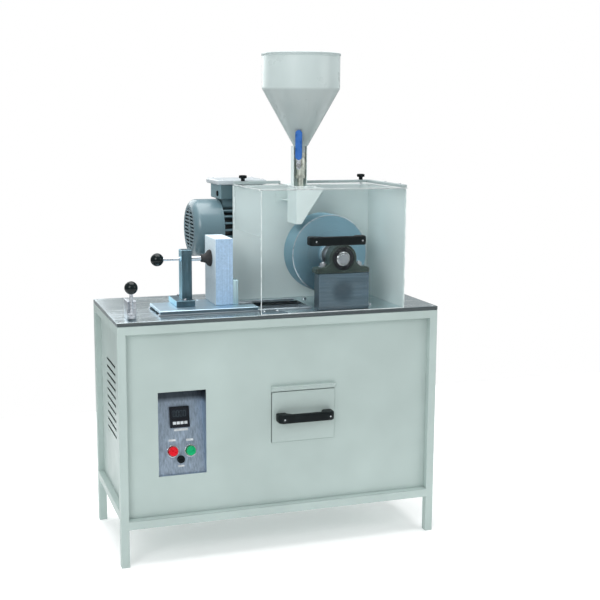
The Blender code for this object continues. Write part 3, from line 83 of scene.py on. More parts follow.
class NodeTree:
    """Short calls that add nodes to a tree."""

    def __init__(self, tree):
        self.tree = tree

    def node(self, kind, inputs=None, **settings):
        """A new node; each input, by name or number, takes a value or another node's socket."""
        made = self.tree.nodes.new("ShaderNode" + kind)
        for key, value in settings.items():
            setattr(made, key, value)
        for key, value in (inputs or {}).items():
            if isinstance(value, bpy.types.NodeSocket):
                self.link(value, made.inputs[key])
            else:
                made.inputs[key].default_value = value
        return made

    def link(self, source, target):
        self.tree.links.new(source, target)

    def span(self, source, low, high, start=0.3, end=0.7):
        """Maps start..end of the source to low..high."""
        inputs = {"Value": source, "From Min": start, "From Max": end, "To Min": low, "To Max": high}
        return self.node("MapRange", inputs).outputs["Result"]


class Finish(NodeTree):
    """One material, with calls for the nodes that shape its colour, roughness and relief."""

    def __init__(self, name, colour, roughness, metallic=0.0, **inputs):
        self.material = bpy.data.materials.new(name)
        self.material.use_nodes = True
        super().__init__(self.material.node_tree)
        self.base = colour
        self.shader = self.tree.nodes["Principled BSDF"]
        fixed = {"Base_Color": (*colour, 1.0), "Roughness": roughness, "Metallic": metallic, **inputs}
        for key, value in fixed.items():
            self.shader.inputs[key.replace("_", " ")].default_value = value
        coordinates = self.node("TexCoord")
        self.place = coordinates.outputs["Object"]
        self.normal = coordinates.outputs["Normal"]

    def colour(self, source):
        self.link(source, self.shader.inputs["Base Color"])

    def rough(self, source):
        self.link(source, self.shader.inputs["Roughness"])

    def relief(self, height, distance, strength, after=None):
        inputs = {"Height": height, "Distance": distance, "Strength": strength}
        if after:
            inputs["Normal"] = after
        bumped = self.node("Bump", inputs).outputs["Normal"]
        self.link(bumped, self.shader.inputs["Normal"])
        return bumped

    def noise(self, scale, detail=4.0, roughness=0.55, stretch=None, vector=None):
        if stretch:
            vector = self.node("Mapping", {"Vector": self.place, "Scale": stretch}).outputs["Vector"]
        inputs = {"Vector": vector or self.place, "Scale": scale, "Detail": detail, "Roughness": roughness}
        return self.node("TexNoise", inputs).outputs["Fac"]

    def math(self, operation, first, second):
        return self.node("Math", {0: first, 1: second}, operation=operation).outputs[0]

    def vector_math(self, operation, first, second, result="Value"):
        return self.node("VectorMath", {0: first, 1: second}, operation=operation).outputs[result]

    def blend(self, share, first, second):
        """Two colours, or colour sockets, mixed by a share."""
        first, second = ((*value, 1.0) if isinstance(value, tuple) else value for value in (first, second))
        return self.node("Mix", {"Factor": share, "A": first, "B": second}, data_type="RGBA").outputs["Result"]

    def varied(self, source, low, high):
        """The look's own colour from one shade to another."""
        return self.blend(self.span(source, 0.0, 1.0), shaded(self.base, low), shaded(self.base, high))

    def multiplied(self, source, factor):
        """A colour socket made darker or lighter by a number socket."""
        return self.node("VectorMath", {0: source, "Scale": factor}, operation="SCALE").outputs["Vector"]

    def facing(self, axis):
        """1 on the faces that look along the axis, 0 on the others."""
        return self.span(self.vector_math("DOT_PRODUCT", self.normal, axis), 0.0, 1.0, 0.6, 0.85)

    def turned_away(self):
        """0 where a face is looked at squarely, 1 where it is seen edge on."""
        return self.node("LayerWeight").outputs["Facing"]

    def along(self, axis, start, end, low, high):
        """Runs from low to high between two places on an axis."""
        split = self.node("SeparateXYZ", {"Vector": self.place})
        return self.span(split.outputs[axis], low, high, start, end)

    def distance(self, centre, axis=None):
        """How far a place is from a point, or from the line through it along an axis."""
        place = self.place
        if axis:
            flat = Vector([float(letter != axis) for letter in "XYZ"])
            place = self.vector_math("MULTIPLY", place, flat, "Vector")
            centre = Vector(centre) * flat
        return self.vector_math("DISTANCE", place, centre)

    def toned(self, tone, side=None, step=None, edge=None, spot=None, steep=None):
        """A colour with local factors, most of them painted light and shade.

        side is (axis, factor) for faces that look along that axis: painted light or shade by the way a face
        looks. step is (axis, start, end, factor) for the part before the start. edge is the factor where a
        round shell turns away, a painted sheen, and steep the factor where a face is looked at squarely, so
        that faces seen edge on are lighter as a painted reflection. spot is (centre, radius, factor) for a
        round patch, darker or lighter towards its centre.
        """
        factors = []
        if side:
            factors.append(self.span(self.facing(side[0]), 1.0, side[1], 0.0, 1.0))
        if step:
            axis, start, end, factor = step
            factors.append(self.along(axis, start, end, factor, 1.0))
        if edge:
            factors.append(self.span(self.turned_away(), 1.0, edge, 0.35, 0.95))
        if spot:
            centre, radius, factor = spot
            factors.append(self.span(self.distance(centre), factor, 1.0, radius * 0.5, radius))
        if steep:
            factors.append(self.span(self.turned_away(), steep, 1.0, 0.30, 0.78))
        for factor in factors:
            tone = self.multiplied(tone, factor)
        return tone


def mixed(first, second, share):
    return tuple(a + (b - a) * share for a, b in zip(first, second))


def shaded(colour, factor):
    """The same hue, darker or lighter."""
    return tuple(min(c * factor, 0.98) for c in colour)


# Kinds of material; local factors are as in Finish.toned


def paint(name, colour, roughness=0.42, peel=0.00004, shade=0.10, coat=0.0, **local):
    """Sprayed or powder-coated metal: faint orange peel, uneven tone, a little dust."""
    look = Finish(name, colour, roughness, Coat_Weight=coat, Coat_Roughness=0.15)
    tone = look.varied(look.noise(4.0, 3.0), 1 - shade, 1 + shade * 0.6)
    speck = look.span(look.noise(900.0, 2.0), 0.0, 0.10, 0.62, 0.75)
    tone = look.blend(speck, tone, mixed(colour, (0, 0, 0), 0.35))
    look.colour(look.toned(tone, **local))
    look.rough(look.span(look.noise(22.0, 5.0), roughness - 0.07, roughness + 0.10))
    look.relief(look.noise(520.0, 2.0), peel, 0.6)
    return look.material


def finned(name, colour, root, tip):
    """Enamel darkened between the cooling fins, nearly black at their roots, as painted shade; root and tip
    are radii.
    """
    look = Finish(name, colour, 0.34, Coat_Weight=0.3, Coat_Roughness=0.15, Specular_IOR_Level=0.3)
    reach = look.distance((0.0, *MOTOR_AXIS), "X")
    tone = look.varied(look.noise(5.0, 3.0), 0.9, 1.1)
    look.colour(look.multiplied(tone, look.span(reach, 0.04, 1.0, root, tip)))
    look.rough(look.span(look.noise(22.0, 5.0), 0.30, 0.46))
    look.relief(look.noise(520.0, 2.0), 0.00006, 0.6)
    return look.material


def brushed(name, colour, roughness=0.30, stretch=(6.0, 420.0, 420.0), stain=0.12, tint=None, **local):
    """Rolled, ground or brushed metal whose grain runs along the axis with the small stretch."""
    look = Finish(name, colour, roughness, 1.0)
    grain = look.noise(1.0, 6.0, 0.65, stretch)
    patch = look.noise(5.5, 5.0, 0.6)
    worn = tint or mixed(colour, (0.30, 0.27, 0.26), 0.5)
    tone = look.blend(look.span(patch, 0.0, stain * 3.0, 0.45, 0.75), look.varied(grain, 0.72, 1.3), worn)
    look.colour(look.toned(tone, **local))
    rough = look.span(grain, roughness - 0.08, roughness + 0.12)
    look.rough(look.math("ADD", rough, look.span(patch, -0.02, 0.10, 0.4, 0.75)))
    look.relief(look.noise(3.1, 5.0, 0.6, stretch), 0.00002, 0.5)
    return look.material


def machined(name, colour, node, roughness=0.28, rings=900.0):
    """Metal faced on a lathe: fine rings round the Y axis of the CAD node it belongs to."""
    look = Finish(name, colour, roughness, 1.0)
    inputs = {"W": look.distance(middle(node), "Y"), "Scale": rings, "Detail": 4.0}
    ring = look.node("TexNoise", inputs, noise_dimensions="1D").outputs["Fac"]
    patch = look.noise(14.0, 4.0)
    dull = mixed(colour, (0.1, 0.1, 0.12), 0.4)
    look.colour(look.blend(look.span(patch, 0.0, 0.35, 0.5, 0.75), look.varied(ring, 0.72, 1.3), dull))
    rough = look.span(ring, roughness - 0.06, roughness + 0.12)
    look.rough(look.math("ADD", rough, look.span(patch, 0.0, 0.08)))
    look.relief(ring, 0.00003, 0.5)
    return look.material


def cast(name, colour, roughness=0.5):
    """Painted cast iron: coarse sand texture under a thick coat."""
    look = Finish(name, colour, roughness, Specular_IOR_Level=0.3)
    sand = look.noise(330.0, 6.0, 0.7)
    look.colour(look.varied(look.noise(30.0, 4.0), 0.65, 1.5))
    look.rough(look.span(sand, roughness - 0.12, roughness + 0.15))
    look.relief(sand, 0.0003, 0.7)
    return look.material


def plastic(name, colour, roughness=0.25, grain=0.00003, scale=700.0, coat=0.0, shine=0.5):
    """Moulded plastic: a light grain, handled patches."""
    look = Finish(name, colour, roughness, Coat_Weight=coat, Coat_Roughness=0.06, Specular_IOR_Level=shine)
    broad = look.noise(60.0, 4.0)
    look.colour(look.varied(broad, 0.8, 1.25))
    look.rough(look.span(broad, roughness - 0.04, roughness + 0.10))
    look.relief(look.noise(scale, 3.0), grain, 0.6)
    return look.material


def rubber(name, colour):
    """Black rubber with dust in its grain."""
    look = Finish(name, colour, 0.75)
    dust = look.noise(90.0, 6.0, 0.7)
    look.colour(look.blend(look.span(dust, 0.0, 0.5, 0.45, 0.75), colour, shaded(colour, 2.6)))
    look.rough(look.span(dust, 0.62, 0.88))
    look.relief(look.noise(1200.0, 3.0), 0.00006, 0.7)
    return look.material


def concrete(name, colour):
    """A sawn paving specimen: pale paste, fine aggregate, pores, upright saw marks on its front."""
    look = Finish(name, colour, 0.7)
    aggregate = look.node("TexVoronoi", {"Vector": look.place, "Scale": 260.0}, feature="F1")
    stones = look.span(aggregate.outputs["Distance"], 0.5, 0.0, 0.10, 0.32)
    grains = look.varied(look.noise(180.0, 5.0, 0.7), 0.8, 1.2)
    spotted = look.blend(stones, grains, mixed(colour, (0.25, 0.30, 0.38), 0.45))
    saw = look.noise(1.0, 4.0, 0.6, (260.0, 260.0, 3.0))
    streaked = look.blend(look.span(saw, 0.0, 0.7), spotted, mixed(colour, (0.16, 0.24, 0.36), 0.6))
    fine = look.span(look.noise(140.0, 5.0, 0.7), 0.0, 0.6)
    pale = look.blend(fine, (0.78, 0.92, 0.98), (0.55, 0.69, 0.80))
    pale = look.toned(pale, step=("Z", 0.66, 0.765, 0.62))
    look.colour(look.blend(look.facing(FORWARD), pale, streaked))
    look.rough(look.span(saw, 0.55, 0.85))
    pores = look.relief(look.noise(420.0, 6.0, 0.7), 0.0004, 0.6)
    look.relief(saw, 0.0003, 0.5, pores)
    return look.material


def clear_sheet(name, tint, haze):
    """Thin clear acrylic: most light goes straight through, with faint slanting wipe marks and a gloss."""
    look = Finish(name, tint, 0.08)
    look.rough(look.span(look.noise(60.0, 5.0), 0.04, 0.14))
    through = look.node("BsdfTransparent", {"Color": (*mixed(tint, (1, 1, 1), 0.85), 1.0)})
    glance = look.math("MULTIPLY", look.math("POWER", look.turned_away(), 4.0), 0.30)
    slant = {"Vector": look.place, "Rotation": (0.0, math.radians(38), 0.0), "Scale": (1.2, 1.2, 9.0)}
    wipes = look.noise(1.0, 5.0, 0.6, vector=look.node("Mapping", slant).outputs["Vector"])
    smear = look.span(wipes, haze * 0.2, haze * 2.2, 0.42, 0.70)
    share = look.math("ADD", glance, smear)
    shaders = {"Fac": share, 1: through.outputs["BSDF"], 2: look.shader.outputs["BSDF"]}
    mix = look.node("MixShader", shaders)
    look.link(mix.outputs["Shader"], look.tree.nodes["Material Output"].inputs["Surface"])
    return look.material


def stranded(name, colour):
    """Wire rope: slanting strands."""
    look = Finish(name, colour, 0.4, 1.0)
    inputs = {"Vector": look.place, "Scale": 420.0}
    wave = look.node("TexWave", inputs, bands_direction="DIAGONAL").outputs["Fac"]
    look.colour(look.blend(wave, shaded(colour, 0.4), shaded(colour, 1.4)))
    look.rough(look.span(wave, 0.3, 0.6, 0.0, 1.0))
    look.relief(wave, 0.0004, 0.8)
    return look.material


# Each look: the record's slot that it belongs to, its kind, its colour and its settings
ENAMEL = (0.13, 0.215, 0.25)
RECIPES = {
    "cabinet_paint": ("cabinet_paint", paint, (0.415, 0.505, 0.485), {}),
    "guard_paint": ("cabinet_paint", paint, (0.70, 0.79, 0.78), dict(roughness=0.40)),
    # also the painted shadow line on the hopper's rim bead
    "rail_paint": ("cabinet_paint", paint, (0.36, 0.43, 0.43), dict(roughness=0.36)),
    # hopper: step darkens the cone below the shoulder as painted shade, and edge lightens the shell where it
    # turns away as a painted sheen
    "hopper_paint": (
        "cabinet_paint", paint, (0.50, 0.58, 0.575),
        dict(roughness=0.32, coat=0.2, step=("Z", 1.128, 1.134, 0.74), edge=1.5),
    ),
    "column_paint": ("cabinet_paint", paint, (0.78, 0.88, 0.87), dict(roughness=0.36)),
    # table top: side darkens its front faces as painted shade, and steep darkens faces seen squarely so that
    # those seen edge on read as a painted reflection; tint is its stain colour
    "plate_steel": (
        "bright_steel", brushed, (0.68, 0.88, 0.98),
        dict(roughness=0.20, tint=(0.42, 0.48, 0.56), side=(FORWARD, 0.46), steep=0.42),
    ),
    "zinc_sheet": (
        "bright_steel", brushed, (0.50, 0.55, 0.60), dict(roughness=0.34, stretch=(300.0, 8.0, 300.0))
    ),
    "bright_steel": (
        "bright_steel", brushed, (0.60, 0.65, 0.70), dict(roughness=0.28, stretch=(8.0, 300.0, 300.0))
    ),
    # side makes the faces that look to the left 4.2 times lighter: painted light
    "ground_steel": (
        "ground_steel", brushed, (0.095, 0.18, 0.225),
        dict(roughness=0.34, stretch=(160.0, 160.0, 14.0), side=(LEFTWARD, 4.2)),
    ),
    # spot darkens a round patch below the bearing, down to 0.62 of the colour at its centre
    "block_steel": (
        "ground_steel", brushed, (0.12, 0.18, 0.225),
        dict(roughness=0.34, stretch=(7.0, 240.0, 240.0), spot=(DARKENED_SPOT, 0.034, 0.62)),
    ),
    "stop_steel": (
        "ground_steel", brushed, (0.56, 0.76, 0.92), dict(roughness=0.36, stretch=(220.0, 220.0, 6.0))
    ),
    # side darkens the trolley plate's front faces as painted shade
    "trolley_steel": (
        "bright_steel", brushed, (0.50, 0.67, 0.82),
        dict(roughness=0.30, stretch=(5.0, 380.0, 380.0), side=(FORWARD, 0.45)),
    ),
    "wheel_steel": ("ground_steel", machined, (0.25, 0.44, 0.54), dict(node="abrasion_wheel", roughness=0.40)),
    "shaft_steel": (
        "ground_steel", machined, (0.50, 0.54, 0.58), dict(node="wheel_shaft", roughness=0.22, rings=2200.0)
    ),
    "motor_enamel": ("grey_enamel", paint, ENAMEL, dict(roughness=0.30, peel=0.00006, shade=0.12, coat=0.35)),
    "fin_enamel": ("grey_enamel", finned, ENAMEL, dict(root=0.062, tip=0.069)),
    "gear_enamel": (
        "grey_enamel", paint, (0.17, 0.225, 0.25), dict(roughness=0.38, peel=0.00012, shade=0.15, coat=0.2)
    ),
    "box_enamel": (
        "grey_enamel", paint, (0.50, 0.56, 0.59), dict(roughness=0.34, peel=0.00006, shade=0.08, coat=0.2)
    ),
    # the terminal box's body: this dark enamel is painted shade under its lid, and side makes its left faces
    # 2.2 times lighter as painted light
    "terminal_enamel": (
        "grey_enamel", paint, (0.085, 0.15, 0.17),
        dict(roughness=0.34, peel=0.00006, shade=0.10, coat=0.2, side=(LEFTWARD, 2.2)),
    ),
    "bearing_iron": ("cast_iron", cast, (0.020, 0.035, 0.030), dict(roughness=0.42)),
    "weight_iron": ("cast_iron", cast, (0.06, 0.07, 0.075), dict(roughness=0.6)),
    # step darkens the top of the recess, from 1 below 0.381 m to 0.24 at 0.393 m and above, as a painted
    # shadow under its top edge
    "panel_aluminium": (
        "panel_aluminium", brushed, (0.355, 0.44, 0.535),
        dict(roughness=0.42, stretch=(300.0, 300.0, 8.0), stain=0.06, step=("Z", 0.393, 0.381, 0.24)),
    ),
    "gloss_black": (
        "black_plastic", plastic, (0.004, 0.009, 0.010), dict(roughness=0.10, grain=0.00001, shine=0.25)
    ),
    "black_plastic": ("black_plastic", plastic, (0.006, 0.009, 0.010), dict(roughness=0.38, shine=0.10)),
    # also the painted shade of the bearing's outer ring
    "counter_black": ("black_plastic", plastic, (0.008, 0.010, 0.014), dict(roughness=0.42, shine=0.2)),
    "display": (
        "black_plastic", plastic, (0.012, 0.016, 0.022), dict(roughness=0.30, grain=0.00001, shine=0.2)
    ),
    "display_digits": ("black_plastic", plastic, (0.045, 0.065, 0.075), dict(roughness=0.5, shine=0.2)),
    "label_plate": ("panel_aluminium", plastic, (0.62, 0.66, 0.68), dict(roughness=0.35)),
    "red_plastic": ("red_plastic", plastic, (0.60, 0.006, 0.016), dict(shine=0.3)),
    "green_plastic": ("green_plastic", plastic, (0.002, 0.33, 0.12), dict(shine=0.3)),
    "blue_vinyl": (
        "blue_vinyl", plastic, (0.018, 0.115, 0.40),
        dict(roughness=0.26, grain=0.00006, scale=260.0, shine=0.4),
    ),
    "black_rubber": ("black_rubber", rubber, (0.022, 0.022, 0.024), {}),
    "lead_rubber": ("black_rubber", rubber, (0.02, 0.02, 0.02), {}),
    "valve_nickel": (
        "brass", brushed, (0.58, 0.61, 0.54), dict(roughness=0.36, stretch=(120.0, 120.0, 120.0), stain=0.25)
    ),
    "bronze": ("bronze", machined, (0.50, 0.32, 0.13), dict(node="worm_wheel", roughness=0.35, rings=1400.0)),
    "chrome": (
        "chrome", brushed, (0.70, 0.72, 0.74), dict(roughness=0.12, stretch=(500.0, 500.0, 500.0), stain=0.05)
    ),
    "screw_steel": (
        "bright_steel", brushed, (0.55, 0.57, 0.60), dict(stretch=(400.0, 400.0, 400.0), stain=0.2)
    ),
    "clear_acrylic": ("clear_acrylic", clear_sheet, (0.86, 0.93, 0.93), dict(haze=0.020)),
    "acrylic_edge": ("clear_acrylic", plastic, (0.74, 0.84, 0.84), dict(coat=0.5)),
    "concrete": ("concrete", concrete, (0.40, 0.57, 0.76), {}),
    "wire_rope": ("wire_rope", stranded, (0.34, 0.35, 0.36), {}),
    "dark_inside": ("black_plastic", plastic, (0.012, 0.013, 0.014), dict(roughness=0.8, shine=0.1)),
    "louvre_shade": ("cabinet_paint", paint, (0.030, 0.036, 0.036), dict(roughness=0.6)),
}
LOOKS = {name: kind(name, colour, **settings) for name, (_, kind, colour, settings) in RECIPES.items()}


# Shapes, each a bmesh in the row frame


def soften(shape, width, segments=2, angle=30.0):
    """Bevels the edges that turn by more than the angle."""
    limit = math.radians(angle)
    sharp = [e for e in shape.edges if len(e.link_faces) == 2 and e.calc_face_angle(0.0) > limit]
    bmesh.ops.bevel(
        shape, geom=sharp, offset=width, segments=segments, affect="EDGES", profile=0.5, clamp_overlap=True
    )
    return shape


def block(low, high, bevel=0.0, segments=2):
    shape = bmesh.new()
    bmesh.ops.create_cube(shape, size=1.0)
    size = Vector(high) - Vector(low)
    centre = (Vector(high) + Vector(low)) / 2
    moved(shape, Matrix.Translation(centre) @ Matrix.Diagonal(size.to_4d()))
    return soften(shape, bevel, segments) if bevel else shape


def on_axis(axis, along, u, v):
    """A place with one coordinate along the axis and the other two in their order."""
    place = [u, v]
    place.insert("XYZ".index(axis), along)
    return Vector(place)


def prism(outline, axis, start, end, bevel=0.0, segments=2):
    """An outline drawn square to the axis and extruded from start to end."""
    shape = bmesh.new()
    face = shape.faces.new([shape.verts.new(on_axis(axis, start, u, v)) for u, v in outline])
    extruded = bmesh.ops.extrude_face_region(shape, geom=[face])["geom"]
    new_verts = [v for v in extruded if isinstance(v, bmesh.types.BMVert)]
    bmesh.ops.translate(shape, verts=new_verts, vec=on_axis(axis, end - start, 0, 0))
    bmesh.ops.recalc_face_normals(shape, faces=shape.faces)
    return soften(shape, bevel, segments) if bevel else shape


def arc(centre, radius, start, end, steps):
    """Points on a round, from one angle to another in degrees."""
    angles = [math.radians(start + (end - start) * i / steps) for i in range(steps + 1)]
    return [(centre[0] + radius * math.cos(a), centre[1] + radius * math.sin(a)) for a in angles]


def circle(centre, radius, steps):
    return arc(centre, radius, 0, 360, steps)[:-1]


def turned(axis, centre, profile, steps=64):
    """A closed profile of (distance along axis, radius) points, spun round the axis."""
    shape = bmesh.new()
    u, v = centre
    ring = [shape.verts.new(on_axis(axis, along, u + radius, v)) for along, radius in profile]
    edges = [shape.edges.new(pair) for pair in zip(ring, ring[1:] + ring[:1])]
    bmesh.ops.spin(
        shape, geom=ring + edges, cent=on_axis(axis, 0, u, v), axis=on_axis(axis, 1, 0, 0),
        angle=2 * math.pi, steps=steps, use_merge=True,
    )
    bmesh.ops.remove_doubles(shape, verts=shape.verts, dist=1e-6)
    bmesh.ops.recalc_face_normals(shape, faces=shape.faces)
    return shape


def rod(start, end, radius, inner=0.0):
    """The profile of a plain rod or, with an inner radius, of a tube."""
    return [(start, inner), (start, radius), (end, radius), (end, inner)]


def placed(start, profile, way=1):
    """A profile whose distances are counted one way from a start."""
    return [(start + way * along, radius) for along, radius in profile]


def joined(*shapes):
    """Several shapes in one mesh."""
    whole = bmesh.new()
    for shape in shapes:
        mesh = as_mesh("joined", shape)
        whole.from_mesh(mesh)
        bpy.data.meshes.remove(mesh)
    return whole


def as_mesh(name, shape):
    mesh = bpy.data.meshes.new(name)
    shape.to_mesh(mesh)
    shape.free()
    return mesh


def moved(shape, matrix):
    bmesh.ops.transform(shape, matrix=matrix, verts=shape.verts)
    return shape


def linked(name, data):
    """A new object in the scene."""
    made = bpy.data.objects.new(name, data)
    bpy.context.scene.collection.objects.link(made)
    return made


def carved(shape, tool):
    """A shape with another cut out of it."""
    target, cutter = linked("target", as_mesh("target", shape)), linked("cutter", as_mesh("cutter", tool))
    modifier = target.modifiers.new("Cut", "BOOLEAN")
    modifier.operation = "DIFFERENCE"
    modifier.solver = "EXACT"
    modifier.object = cutter
    bpy.context.view_layer.update()
    result = bpy.data.meshes.new_from_object(target.evaluated_get(bpy.context.evaluated_depsgraph_get()))
    cut = bmesh.new()
    cut.from_mesh(result)
    for mesh in (target.data, cutter.data, result):
        bpy.data.meshes.remove(mesh)
    return cut


def without_repeats(points):
    """Drops points that repeat the one before."""
    kept = []
    for point in points:
        if not kept or math.dist(point, kept[-1]) > 1e-5:
            kept.append(point)
    if math.dist(kept[0], kept[-1]) < 1e-5:
        kept.pop()
    return kept


# Pieces


def piece(name, shape, look, body="cabinet", replaces=(), sharp=38.0, weighted=True):
    """A shape as an object of the visual model, riding on a CAD body."""
    mesh = as_mesh(name, shape)
    mesh.shade_smooth()
    mesh.set_sharp_from_angle(angle=math.radians(sharp))
    made = linked(name, mesh)
    mesh.materials.append(LOOKS[look])
    if weighted:
        modifier = made.modifiers.new("Weighted normals", "WEIGHTED_NORMAL")
        modifier.keep_sharp = True
        modifier.weight = 80
    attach(made, body)
    if replaces:
        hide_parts(*replaces)


def rounded(node, look, bevel=0.0006, segments=2, sharp=38.0, angle=50.0):
    """Stands for a CAD node: the same shape with its flat faces whole and its edges rounded."""
    shape = bmesh.new()
    shape.from_mesh(NODES[node].data)
    bmesh.ops.remove_doubles(shape, verts=shape.verts, dist=4e-6)
    flat = math.radians(0.6)
    bmesh.ops.dissolve_limit(shape, angle_limit=flat, verts=shape.verts, edges=shape.edges)
    if bevel:
        soften(shape, bevel, segments, angle)
    piece(f"{node}_finished", shape, look, BODY_OF[node], [node], sharp)


def plain(node, look):
    """Keeps the CAD node and gives it a better material."""
    NODES[node].data.materials.clear()
    NODES[node].data.materials.append(LOOKS[look])


def edge_strips(name, look, body, corner_pairs):
    """Thin strips along the cut edges of a sheet."""
    piece(name, joined(*[block(low, high, 0.0002, 1) for low, high in corner_pairs]), look, body)


# Fasteners, each on a spot of a surface with its head along the axis


def set_on(shape, spot, axis):
    turn = Vector(UP).rotation_difference(Vector(axis)).to_matrix().to_4x4()
    return moved(shape, Matrix.Translation(Vector(spot)) @ turn)


def hex_bolt(spot, axis, size, washer=True, nut=None):
    """A hexagon head with its washer, or a nut of the stated height on the end of a stud."""
    thick, height = (0.0008, size * 0.63) if nut is None else (0.0020, nut)
    top = thick + height
    parts = [prism(circle((0, 0), size, 6), "Z", thick, top, 0.0003, 1)]
    if washer:
        parts.append(turned("Z", (0, 0), rod(0, thick, size * 1.25), 24))
    if nut is not None:
        end = [(thick, 0.0), (thick, size * 0.50), (top + 0.0022, size * 0.50)]
        end += [(top + 0.0030, size * 0.40), (top + 0.0030, 0.0)]
        parts.append(turned("Z", (0, 0), end, 24))
    return set_on(joined(*parts), spot, axis)


def socket_screw(spot, axis, radius):
    """A round head with a socket."""
    height = radius * 0.9
    rim = [(0, 0.0), (0, radius), (height - 0.0004, radius), (height, radius - 0.0004)]
    rim += [(height, radius * 0.55), (height * 0.45, radius * 0.5), (height * 0.45, 0.0)]
    return set_on(turned("Z", (0, 0), rim, 12), spot, axis)


def pan_screw(spot, axis, radius=0.003):
    """A domed head."""
    height = radius * 0.55
    dome = [(height * v / radius, u) for u, v in arc((0, 0), radius, 18, 72, 3)]
    return set_on(turned("Z", (0, 0), [(0.0, 0.0), (0.0, radius), *dome, (height, 0.0)], 16), spot, axis)


# Cabinet


def cabinet():
    rounded("base_frame", "cabinet_paint", 0.0016, 3)
    rounded("table_plate", "plate_steel", 0.0003, 1)
    rounded("front_panel", "cabinet_paint", 0.0004, 2)
    for side in ("left", "right"):
        rounded(f"{side}_side_panel", "cabinet_paint", 0.0004, 2)
        louvre_blades(side)
    rounded("back_panel", "cabinet_paint", 0.0003, 1)
    rounded("floor_panel", "cabinet_paint", 0.0003, 1)
    rounded("mains_inlet", "black_plastic", 0.0004, 2)
    rounded("drawer_cradle", "zinc_sheet", 0.0, 1)
    rounded("slot_funnel", "zinc_sheet", 0.0, 1)
    back_screws()
    table_screws()
    slot_end_plate()


def louvre_blades(side):
    """Pressed hoods behind the slots, near black as painted shade, and a dark sheet behind them as painted
    shadow of the cabinet's inside; they close the view into the cabinet.
    """
    low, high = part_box(f"{side}_side_panel")
    face, inward = (high.x, 1) if side == "left" else (low.x, -1)
    top, pitch, count = 0.460, 0.0196, 10
    front, rear = FRONT + 0.130, FRONT + 0.256
    section = [(-0.0016, 0.0042), (0.0085, -0.0060), (0.0085, -0.0070), (-0.0016, 0.0032)]
    blades = []
    for i in range(count):
        outline = [(face + inward * x, top - i * pitch + z) for x, z in section]
        blades.append(prism(outline, "Y", front, rear))
    piece(f"{side}_louvre_blades", joined(*blades), "louvre_shade", weighted=False)
    near, far = sorted((face + inward * 0.009, face + inward * 0.010))
    # a dark sheet behind the hoods: painted shadow of the cabinet's inside
    shadow_sheet = block((near, front - 0.010, 0.270), (far, rear + 0.010, 0.474), 0.0002, 1)
    piece(f"{side}_louvre_backing", shadow_sheet, "dark_inside")


def back_screws():
    low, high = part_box("back_panel")
    inset = 0.012
    left, right, bottom, top = low.x + inset, high.x - inset, low.z + inset, high.z - inset
    columns = (left, low.x + 0.26, 0.5 * (low.x + high.x), high.x - 0.26, right)
    spots = [(x, z) for x in columns for z in (bottom, top)]
    spots += [(x, z) for z in (low.z + 0.16, high.z - 0.16) for x in (left, right)]
    screws = [pan_screw((x, high.y, z), (0, 1, 0)) for x, z in spots]
    piece("back_panel_screws", joined(*screws), "screw_steel")


def table_screws():
    """Countersunk screws that hold the steel top to the frame."""
    low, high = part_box("table_plate")
    inset, proud, socket = 0.010, 0.0003, 0.0014
    rim = [(high.z, 0.0035), (high.z + proud, 0.0033), (high.z + proud, socket), (high.z, socket)]
    spots = [(x, y) for x in (low.x + inset, high.x - inset) for y in (low.y + inset, high.y - inset)]
    piece("table_plate_screws", joined(*[turned("Z", spot, rim, 16) for spot in spots]), "screw_steel")


def slot_end_plate():
    """The bracket at the front of the table's slot, and the loose fasteners on the table."""
    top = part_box("table_plate")[1].z
    thick = 0.003
    outline = [(-0.060, 0.004), (0.010, 0.008), (-0.003, 0.042), (-0.052, 0.042)]
    shape = prism([(x, FRONT + y) for x, y in outline], "Z", top, top + thick, 0.0005, 1)
    piece("slot_end_plate", shape, "block_steel")
    head_spots = ((-0.045, 0.023), (-0.012, 0.024))
    heads = [socket_screw((x, FRONT + y, top + thick), UP, 0.0042) for x, y in head_spots]
    nuts = [hex_bolt((x, FRONT + y, top), UP, 0.0055) for x, y in ((0.120, 0.205), (0.250, 0.075))]
    piece("slot_end_screws", joined(*heads, *nuts), "chrome")


# Control recess; its pieces are drawn flat, X and Y along the panel and Z out of it, then tilted


def on_panel(shape):
    """Moves a shape that was drawn flat onto the tilted panel."""
    return moved(shape, Matrix.Translation(PANEL_ORIGIN) @ Matrix.Rotation(math.pi / 2 - PANEL_TILT, 4, "X"))


def control_panel():
    rounded("control_pan", "panel_aluminium", 0.0003, 1)
    rounded("revolution_counter", "counter_black", 0.0008, 3)
    counter_face()
    labels = [
        (-0.2650, 0.1030, 0.0340, 0.0060),
        (-0.2800, 0.0790, 0.0170, 0.0050),
        (-0.2370, 0.0775, 0.0170, 0.0050),
        (-0.2600, 0.0165, 0.0150, 0.0045),
    ]
    plates = [block((x, y, 0.0), (x + wide, y + high, 0.0007), 0.0002, 1) for x, y, wide, high in labels]
    piece("control_labels", on_panel(joined(*plates)), "label_plate")
    push_button("stop", "red_plastic")
    push_button("start", "green_plastic")
    rounded("fuse_holder", "black_plastic", 0.0003, 2)
    rounded("fuse_cap", "black_plastic", 0.0003, 2)


def counter_face():
    """The counter's window, its four unlit digits and its four keys."""
    x, y = COUNTER_SPOT
    window = block((x - 0.0190, y - 0.0025, 0.0066), (x + 0.0190, y + 0.0200, 0.0072), 0.0002, 1)
    piece("counter_window", on_panel(window), "display")
    digits, keys = [], []
    for i in range(4):
        digits += zero_digit(x - 0.0165 + i * 0.0084, y + 0.0010, 0.0073)
        left = x - 0.0180 + i * 0.0093
        keys.append(block((left, y - 0.0175, 0.0078), (left + 0.0078, y - 0.0105, 0.0092), 0.0007, 2))
    piece("counter_digits", on_panel(joined(*digits)), "display_digits", weighted=False)
    piece("counter_keys", on_panel(joined(*keys)), "label_plate")


